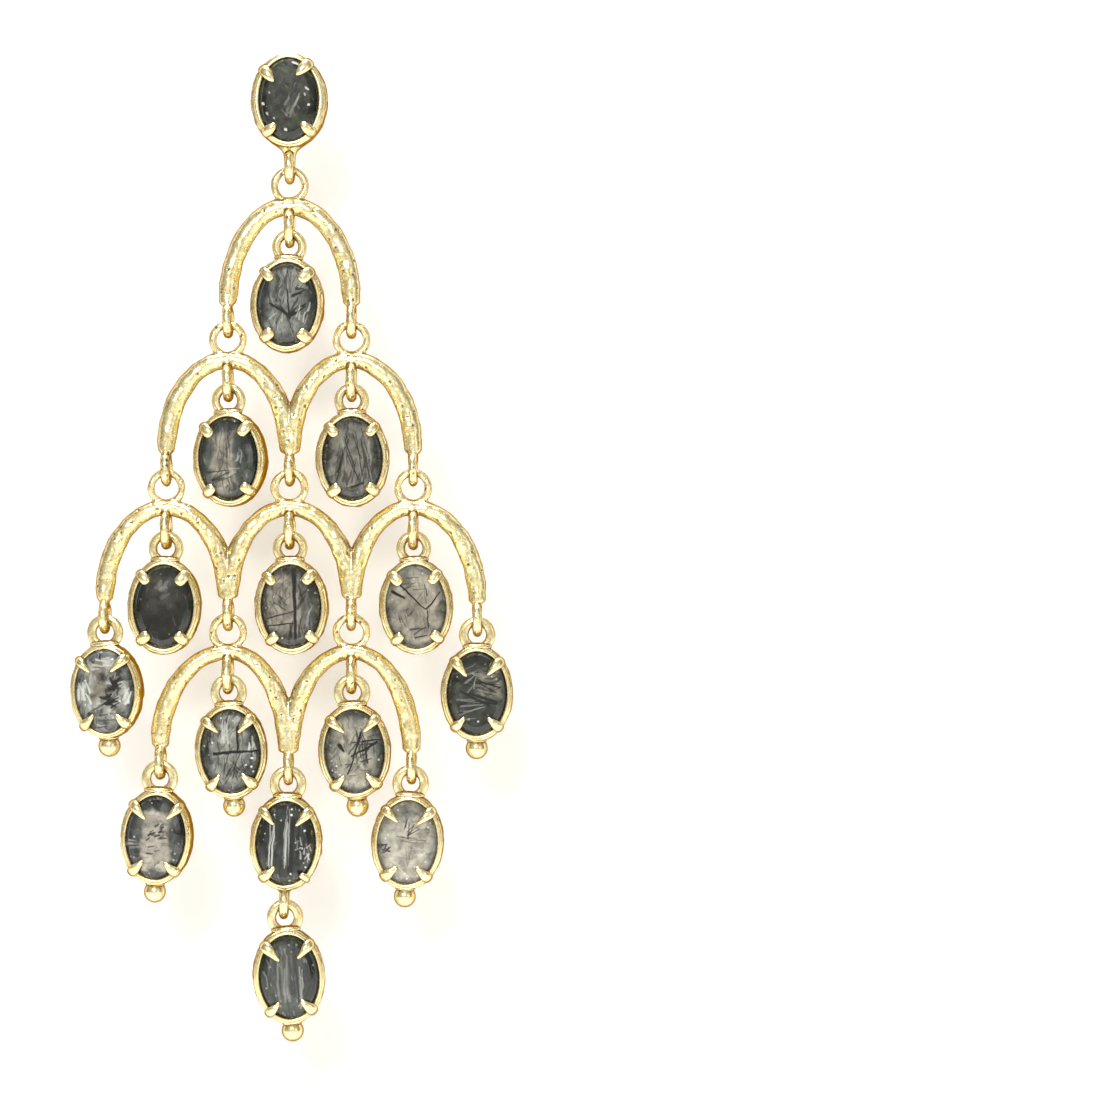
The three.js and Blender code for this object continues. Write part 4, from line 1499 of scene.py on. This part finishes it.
    @staticmethod
    def _skin() -> tuple[bpy.types.NodeTree, dict[str, str]]:
        """Hammer marks, small bumps and pits as real relief over a finely meshed surface."""
        graph, given, identifiers = geometry_tree(
            "hammered skin",
            (
                ("Dent depth", "NodeSocketFloat", 0.05),
                ("Dent size", "NodeSocketFloat", 1.1),
                ("Bump depth", "NodeSocketFloat", 0.02),
                ("Bump size", "NodeSocketFloat", 0.4),
                ("Pit depth", "NodeSocketFloat", 0.04),
                ("Pit size", "NodeSocketFloat", 0.55),
                ("Seed", "NodeSocketFloat", 0.0),
                ("Gold", "NodeSocketMaterial", None),
            ),
        )
        value = given.outputs
        place = graph.add("GeometryNodeInputPosition").outputs[0]
        seed = graph.add("ShaderNodeCombineXYZ", {"Y": value["Seed"]}).outputs[0]
        place = graph.vector("ADD", place, seed)

        def at_size(size: bpy.types.NodeSocket) -> bpy.types.NodeSocket:
            """The pattern's frequency for a feature of this size."""
            return graph.maths("DIVIDE", 1.0, size)

        dents = graph.add(
            "ShaderNodeTexVoronoi",
            {"Vector": place, "Scale": at_size(value["Dent size"]), "Smoothness": 0.35},
            feature="SMOOTH_F1",
        )
        bumps = graph.add(
            "ShaderNodeTexNoise", {"Vector": place, "Scale": at_size(value["Bump size"]), "Detail": 2.0}
        )
        pits = graph.add("ShaderNodeTexVoronoi", {"Vector": place, "Scale": at_size(value["Pit size"])})
        hollow = graph.minus(graph.smooth_step(pits.outputs["Distance"], 0.12, 0.34), 1.0)
        lucky = graph.add("FunctionNodeSeparateColor", {0: pits.outputs["Color"]}).outputs[0]
        hollow = graph.times(hollow, graph.smooth_step(lucky, 0.62, 0.66))
        dent = graph.minus(dents.outputs["Distance"], 0.45)
        bump = graph.minus(bumps.outputs[0], 0.5)
        height = graph.plus(
            graph.times(dent, value["Dent depth"]),
            graph.times(bump, graph.times(value["Bump depth"], 2.0)),
        )
        height = graph.plus(height, graph.times(hollow, value["Pit depth"]))
        normal = graph.add("GeometryNodeInputNormal").outputs[0]
        shift = graph.add("ShaderNodeVectorMath", {0: normal, "Scale": height}, operation="SCALE").outputs[0]
        # Keeps the pits so that the gold material paints shade into them.
        marked = graph.store(value["Geometry"], "pit", graph.times(hollow, -1.0))
        beaten = graph.add("GeometryNodeSetPosition", {"Geometry": marked, "Offset": shift})
        close_tree(graph, beaten.outputs[0], value["Gold"])
        return graph.tree, identifiers


# Depths and sizes of the marks in the arches, in millimetres, by the skin tree's names.
HAMMER_MARKS = {
    "Dent depth": 0.13,
    "Dent size": 1.15,
    "Bump depth": 0.035,
    "Bump size": 0.42,
    "Pit depth": 0.07,
    "Pit size": 0.5,
}


@dataclass
class ArchTier:
    """One tier of hammered arches with its rings, hooks and loops, soldered into one."""

    sizes: Sizes
    tier: Tier
    trees: GeometryTrees
    gold: bpy.types.Material
    top: float
    seed: float
    voxel: float = 0.085
    heights: dict[str, float] = field(init=False)

    def __post_init__(self) -> None:
        """Works out the tier's heights below the middle of its rings' topmost wire."""
        s = self.sizes
        ring = self.top - s.arch_ring_hole - s.arch_ring_wire / 2
        crown = ring - s.arch_ring_hole - self.tier.crown * s.leg_width / 2
        hook = crown - s.hook_hole - s.hook_wire
        loop = crown - s.rise - s.foot_round + s.loop_bite - s.loop_outer
        self.heights = {"ring": ring, "crown": crown, "hook": hook, "loop": loop}

    def loop_height(self, foot: int) -> float:
        """Height of the middle of one foot's loop."""
        return self.heights["loop"] - self.sizes.rise * self.tier.longer[foot]

    def next_top(self) -> float:
        """Height at which the next tier's rings hang, in the loops of the feet round the middle."""
        s = self.sizes
        return s.rests_in(self.loop_height(math.ceil(self.tier.arches / 2)), s.loop_hole, s.arch_ring_wire)

    def _bars(self) -> list[bpy.types.Mesh]:
        """The arches' bars."""
        s, tier = self.sizes, self.tier
        bars = []
        for at in range(tier.arches):
            reach = [
                abs(tier.foot_x(s.pitch, foot) - tier.arch_x(s.pitch, at))
                - (s.stem_spread if 0 < foot < tier.arches else 0)
                for foot in (at, at + 1)
            ]
            seed_mesh = bpy.data.meshes.new("seed")
            bar = run_tree(
                f"{tier.node}_bar_{at}",
                seed_mesh,
                self.trees.bar,
                self.trees.bar_inputs,
                {
                    "Reach left": reach[0],
                    "Reach right": reach[1],
                    "Rise left": s.rise * (1 + tier.longer[at]),
                    "Rise right": s.rise * (1 + tier.longer[at + 1]),
                    "Leg width": s.leg_width,
                    "Crown width": s.leg_width * tier.crown,
                    "Depth": s.bar_depth,
                    "Foot round": s.foot_round,
                    "Gold": self.gold,
                },
            )
            bar.transform(Matrix.Translation((tier.arch_x(s.pitch, at), s.middle, self.heights["crown"])))
            bars.append(bar)
        return bars

    def _rings(self) -> list[bpy.types.Mesh]:
        """The rings on the crowns, the hooks under them and the loops under the feet."""
        s, tier = self.sizes, self.tier
        crowns = [tier.arch_x(s.pitch, at) for at in range(tier.arches)]
        feet = [(tier.foot_x(s.pitch, at), self.loop_height(at)) for at in range(tier.arches + 1)]
        rows = (
            ("ring", [(x, self.heights["ring"]) for x in crowns], s.arch_ring_hole, s.arch_ring_wire, 0.0),
            ("hook", [(x, self.heights["hook"]) for x in crowns], s.hook_hole, s.hook_wire, math.pi / 2),
            ("loop", feet, s.loop_hole, s.loop_wire, math.pi / 2),
        )
        made = []
        for label, places, hole, wire, turn in rows:
            points = bpy.data.meshes.new(label)
            points.from_pydata([(x, s.middle, z) for x, z in places], [], [])
            made.append(
                run_tree(
                    f"{tier.node}_{label}",
                    points,
                    self.trees.links,
                    self.trees.link_inputs,
                    {"Hole radius": hole, "Wire": wire, "Turn": turn, "Gold": self.gold},
                )
            )
        return made

    def build(self) -> bpy.types.Object:
        """Solders the tier together, hammers it and dresses it."""
        workers = []
        for mesh in self._bars() + self._rings():
            worker = bpy.data.objects.new(mesh.name, mesh)
            bpy.context.scene.collection.objects.link(worker)
            workers.append(worker)
        with bpy.context.temp_override(active_object=workers[0], selected_editable_objects=workers):
            bpy.ops.object.join()
        whole = workers[0]
        remesh = whole.modifiers.new("Solder", "REMESH")
        remesh.mode = "VOXEL"
        remesh.voxel_size = self.voxel
        smooth = whole.modifiers.new("Flow", "SMOOTH")
        smooth.factor, smooth.iterations = 0.5, 3
        cast = baked(self.tier.node + "_cast", whole)
        hammered = run_tree(
            self.tier.node + "_gold",
            cast,
            self.trees.skin,
            self.trees.skin_inputs,
            {**HAMMER_MARKS, "Seed": self.seed, "Gold": self.gold},
        )
        node, body = self.tier.node, self.tier.body
        return finished(node + "_gold", hammered, self.gold, Matrix(), body, node, ARCH_CREASE)


# The wire of a drop's ring in millimetres, its thickness as a share of that, and how square it is.
FRINGE_RING = (0.8, 0.72, 0.72)
INNER_RING = (0.72, 0.95, 0.95)
INNER_RIM_MORE = 0.07  # how much wider the inner drops' bands are at the sides

# The gusset's sections over the lower loop: height over the band's lower edge, half width and half depth.
GUSSET = (
    (0.45, 0.7, 0.5),
    (0.25, 0.85, 0.66),
    (0.08, 0.72, 0.66),
    (-0.08, 0.56, 0.62),
    (-0.25, 0.43, 0.55),
    (-0.42, 0.36, 0.45),
)


@dataclass
class StoneDrop:
    """A claw-set stone that hangs by its ring, with a ball or a loop underneath."""

    sizes: Sizes
    hanging: Hanging
    gold: bpy.types.Material
    quartz: QuartzFinish
    body: str
    place: Matrix
    seed: float

    @property
    def centre(self) -> float:
        """Height of the stone's middle over the point that the drop hangs from."""
        s = self.sizes
        return -s.drop_ring_hole - s.drop_ring_wire / 2 - s.drop_ring_rise - s.band_half

    def _metal(self) -> list[bpy.types.Mesh]:
        """The band, claws, ring and what is underneath, round the stone's middle."""
        s, name = self.sizes, self.hanging.name
        fringe = self.hanging.fringe
        setting = Setting(s, s.rim, s.rim if fringe else s.rim + INNER_RIM_MORE, s.band_depth)
        metal = [setting.band(name, self.seed)]
        kind = ClawKind.POINT if fringe else ClawKind.BEAD
        metal += setting.claws(name, kind, self.seed, self.hanging.worn_claw)
        top = s.band_half
        ring = Vector((0, 0, top + s.drop_ring_rise))
        wire, flat, power = FRINGE_RING if fringe else INNER_RING
        metal.append(torus(name + "_ring", s.drop_ring_hole, wire, ring, False, flat, power))
        saddle = Vector((0, -0.42, top - 0.08))
        metal.append(ellipsoid(name + "_saddle", saddle, Vector((1.25, 0.7, 0.36))))
        if self.hanging.under is Underneath.BALL:
            middle = Vector((0, 0, -top - s.ball_drop - 0.05))
            metal.append(ellipsoid(name + "_ball", middle, Vector((s.ball_radius - 0.02,) * 3)))
            collar = Vector((0, -0.1, -top + 0.02))
            metal.append(ellipsoid(name + "_collar", collar, Vector((0.85, 0.75, 0.28))))
        if self.hanging.under is Underneath.LOOP:
            middle = Vector((0, 0, self.loop_below))
            metal.append(torus(name + "_loop", s.loop_hole, s.loop_wire, middle, True))
            metal.append(upright_tube(name + "_gusset", -top, GUSSET))
        return metal

    @property
    def loop_below(self) -> float:
        """Height of the lower loop's middle over the stone's."""
        s = self.sizes
        return -s.band_half + s.joined_bite - s.loop_outer

    def build(self) -> None:
        """Builds and dresses the setting and its stone."""
        name, look, s = self.hanging.name, self.hanging.look, self.sizes
        place = self.place @ Matrix.Translation((0, 0, self.centre))
        metal = welded(name + "_metal", self._metal())
        finished(f"{name}_gold", metal, self.gold, place, self.body, f"{name}_setting", METAL_CREASE)
        stone = OvalStone(s).mesh(name + "_quartz", -s.band_depth / 2)
        turn, lean = self.hanging.turn, self.hanging.lean
        finish = self.quartz.material(name + "_quartz", look, place.translation, turn, lean)
        finished(f"{name}_quartz", stone, finish, place, self.body, f"{name}_stone", STONE_CREASE)


# The neck's sections: height over the band's lower edge, half width and half depth in millimetres.
STUD_NECK = (
    (0.45, 1.5, 0.7),
    (0.3, 1.38, 0.9),
    (0.14, 1.14, 0.95),
    (0.0, 0.94, 0.92),
    (-0.15, 0.77, 0.84),
    (-0.3, 0.65, 0.76),
    (-0.5, 0.55, 0.66),
    (-0.8, 0.5, 0.55),
    (-1.1, 0.48, 0.48),
    (-1.3, 0.34, 0.34),
)


@dataclass
class Stud:
    """The stud with its neck, loop and ear post."""

    sizes: Sizes
    gold: bpy.types.Material
    quartz: QuartzFinish

    @property
    def loop(self) -> float:
        """Height of the middle of the stud's loop."""
        s = self.sizes
        return -(s.stone_height / 2 + s.stud_rim + s.neck_length + s.loop_hole)

    def _metal(self) -> list[bpy.types.Mesh]:
        """The band, back plate, post, claws, neck and loop."""
        s = self.sizes
        setting = Setting(s, s.stud_rim, s.stud_rim_side, s.stud_depth)
        back = s.stud_depth / 2
        wide = s.stone_width / 2 + s.stud_rim_side - 0.3
        high = s.stone_height / 2 + s.stud_rim - 0.2
        plate = [oval(wide, high, depth, 64) for depth in (back - 0.5, back - 0.06)]
        plate.append(oval(wide - 0.06, high - 0.06, back, 64))
        tip = back + s.post_length
        radius = s.post_diameter / 2
        profile = (
            (1.7, back - 0.2),
            (1.6, back),
            (1.15, back + 0.12),
            (1.0, back + 0.3),
            (1.0, tip - 1.5),
            (0.8, tip - 1.35),
            (0.8, tip - 1.1),
            (1.0, tip - 0.95),
            (1.0, tip - 0.3),
            (0.8, tip - 0.08),
            (0.5, tip),
        )
        post = [oval(radius * share, radius * share, depth, 24) for share, depth in profile]
        edge = s.stone_height / 2 + s.stud_rim
        metal = [setting.band("stud_setting", 2.2), skin("stud_plate", plate), skin("stud_post", post)]
        metal += setting.claws("stud_setting", ClawKind.SHORT, 4.4)
        metal.append(upright_tube("stud_neck", -edge, STUD_NECK))
        metal.append(torus("stud_loop", s.loop_hole, s.loop_wire, Vector((0, 0, self.loop)), True))
        return metal

    def build(self) -> float:
        """Builds and dresses the stud.

        Returns:
            The height at which the first tier's ring hangs.
        """
        s = self.sizes
        place = Matrix.Translation((0, s.middle, 0))
        metal = welded("stud_metal", self._metal())
        finished("stud_gold", metal, self.gold, place, "stud", "stud_setting", METAL_CREASE)
        stone = OvalStone(s).mesh("stud_quartz", -s.stud_depth / 2)
        finish = self.quartz.material("stud_quartz", STUD_LOOK, place.translation, 0.0, 0.0)
        finished("stud_quartz", stone, finish, place, "stud", "stud_stone", STONE_CREASE)
        return s.rests_in(self.loop, s.loop_hole, s.arch_ring_wire)


@dataclass
class Studio:
    """The pale floor and backdrop, the lights and the camera.

    Wall is the backdrop's depth and floor the floor's height, in millimetres. The camera looks straight at
    axis_x and axis_z.
    """

    wall: float = 12.6
    floor: float = -112.0
    lens: float = 110.0
    axis_x: float = 21.6
    axis_z: float = -37.37

    def build_stage(self) -> None:
        """Builds a floor that curves up into a backdrop, open to the back."""
        width, bend, steps = 900.0, 30.0, 12
        outline = [(-900.0, self.floor)]
        for k in range(steps + 1):
            angle = math.pi / 2 * k / steps
            y, z = self.wall - bend + bend * math.sin(angle), self.floor + bend - bend * math.cos(angle)
            outline.append((y, z))
        outline.append((self.wall, 500.0))
        points = [(side * width, y, z) for y, z in outline for side in (-1, 1)]
        faces = [(2 * k, 2 * k + 1, 2 * k + 3, 2 * k + 2) for k in range(len(outline) - 1)]
        mesh = bpy.data.meshes.new("backdrop")
        mesh.from_pydata(points, [], faces)
        mesh.transform(Matrix.Scale(MM, 4))
        mesh.shade_smooth()
        material = bpy.data.materials.new("backdrop_paper")
        material.use_nodes = True
        material.node_tree.nodes.clear()
        graph = Graph(material.node_tree)
        place = graph.add("ShaderNodeTexCoord").outputs["Object"]
        fibre = graph.add("ShaderNodeTexNoise", {"Vector": place, "Scale": 60.0, "Detail": 3.0})
        tone = graph.blend(fibre.outputs[0], (0.93, 0.92, 0.9), (0.95, 0.94, 0.93))
        lit = graph.add("ShaderNodeEmission", {"Color": (1.0, 0.8, 0.62, 1.0), "Strength": 0.03})
        matt = graph.add("ShaderNodeBsdfDiffuse", {"Color": tone})
        paper = graph.add("ShaderNodeAddShader", {0: matt.outputs[0], 1: lit.outputs[0]})
        nothing = graph.add("ShaderNodeBsdfTransparent")
        behind = graph.add("ShaderNodeNewGeometry").outputs["Backfacing"]
        surface = graph.add("ShaderNodeMixShader", {0: behind, 1: paper.outputs[0], 2: nothing.outputs[0]})
        graph.add("ShaderNodeOutputMaterial", {"Surface": surface.outputs[0]})
        mesh.materials.append(material)
        backdrop = bpy.data.objects.new("backdrop", mesh)
        bpy.context.scene.collection.objects.link(backdrop)

    def build_lights(self) -> None:
        """Builds the soft lights and the sky around the earring."""
        aim = Vector((self.axis_x * 0.3, 0, self.axis_z)) * MM
        for name, place, size, power, colour in (
            ("key", (-50.0, -420.0, 135.0), 120.0, 0.69, (1.0, 1.0, 0.98)),
            ("overhead", (-15.0, -35.0, 300.0), 150.0, 1.55, (1.0, 1.0, 0.99)),
            ("fill", (300.0, -340.0, 20.0), 200.0, 0.1, (1.0, 0.97, 0.93)),
            ("glint", (60.0, -90.0, 330.0), 18.0, 0.07, (1.0, 1.0, 1.0)),
        ):
            lamp = bpy.data.lights.new(name, "AREA")
            lamp.shape, lamp.size, lamp.energy, lamp.color = "DISK", size * MM, power, colour
            light = bpy.data.objects.new(name, lamp)
            light.location = Vector(place) * MM
            light.rotation_euler = (aim - light.location).to_track_quat("-Z", "Y").to_euler()
            bpy.context.scene.collection.objects.link(light)
        world = bpy.data.worlds.new("studio")
        world.use_nodes = True
        world.node_tree.nodes.clear()
        graph = Graph(world.node_tree)
        direction = graph.add("ShaderNodeTexCoord").outputs["Generated"]
        _, along, up = graph.add("ShaderNodeSeparateXYZ", {0: direction}).outputs
        high = graph.smooth_step(up, -0.8, 0.6)
        tone = graph.blend(high, (0.55, 0.43, 0.33), (1.0, 0.97, 0.92))
        ahead = graph.smooth_step(graph.times(along, -1.0), 0.0, 0.9)
        strength = graph.plus(0.22, graph.times(ahead, 0.4))
        sky = graph.add("ShaderNodeBackground", {"Color": tone, "Strength": strength})
        graph.add("ShaderNodeOutputWorld", {"Surface": sky.outputs[0]})
        bpy.context.scene.world = world

    def build_camera(self) -> None:
        """Builds the camera, square on to the face, with the photograph's framing."""
        data = bpy.data.cameras.new("camera")
        data.lens, data.sensor_width = self.lens, 36.0
        distance = PHOTO_PIXELS * PHOTO_SCALE * self.lens / data.sensor_width
        camera = bpy.data.objects.new("camera", data)
        camera.location = Vector((self.axis_x, Sizes().middle - 1.0 - distance, self.axis_z)) * MM
        camera.rotation_euler = (math.pi / 2, 0, 0)
        data.clip_start, data.clip_end = 0.01, 10.0
        bpy.context.scene.collection.objects.link(camera)
        bpy.context.scene.camera = camera

    def build(self) -> None:
        """Builds the whole studio."""
        self.build_stage()
        self.build_lights()
        self.build_camera()
        bpy.context.scene.view_settings.view_transform = "Standard"
        LOG.info("studio")


def swung(hanging: Hanging) -> Matrix:
    """The turn and lean of a drop about its ring's topmost wire."""
    lean = Matrix.Rotation(math.radians(-hanging.lean), 4, "Y")
    return lean @ Matrix.Rotation(math.radians(hanging.turn), 4, "Z")


@dataclass
class Earring:
    """The whole earring, from the stud down to the last drop."""

    sizes: Sizes = field(default_factory=Sizes)

    def hung(self, x: float, z: float, hanging: Hanging) -> Matrix:
        """Where a drop hangs, turned and leaning about its ring's topmost wire."""
        return Matrix.Translation((x, self.sizes.middle, z)) @ swung(hanging)

    def build(self) -> None:
        """Builds every piece."""
        s = self.sizes
        polished = GoldFinish("polished_gold").material()
        hammered = GoldFinish("hammered_gold", roughness=0.27, grain=0.12).material()
        quartz = QuartzFinish(s)
        trees = GeometryTrees()
        top = Stud(s, polished, quartz).build()
        for index, tier in enumerate(TIERS):
            arches = ArchTier(s, tier, trees, hammered, top, seed=3.3 * index)
            arches.build()
            for count, hanging in enumerate(DROPS[index]):
                if hanging.hook >= 0:
                    x, loop, hole = tier.arch_x(s.pitch, hanging.hook), arches.heights["hook"], s.hook_hole
                else:
                    x, hole = tier.foot_x(s.pitch, hanging.foot), s.loop_hole
                    loop = arches.loop_height(hanging.foot)
                place = self.hung(x, s.rests_in(loop, hole, s.drop_ring_wire), hanging)
                seed = 11.0 * index + 1.9 * count
                drop = StoneDrop(s, hanging, polished, quartz, tier.body, place, seed)
                drop.build()
                if hanging.under is Underneath.LOOP:
                    below = s.rests_in(drop.centre + drop.loop_below, s.loop_hole, s.drop_ring_wire)
                    inner = place @ Matrix.Translation((0, 0, below)) @ swung(LAST_DROP)
                    StoneDrop(s, LAST_DROP, polished, quartz, tier.body, inner, LAST_DROP_SEED).build()
            top = arches.next_top()


def corners(bounds: tuple[Vector, Vector]) -> list[list[float]]:
    """A box as plain lists of numbers."""
    return [list(corner) for corner in bounds]


def main() -> None:
    """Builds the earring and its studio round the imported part."""
    logging.basicConfig(level=logging.INFO, format="%(name)s %(message)s")
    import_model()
    Earring().build()
    Studio().build()


if __name__ == "__main__":
    main()
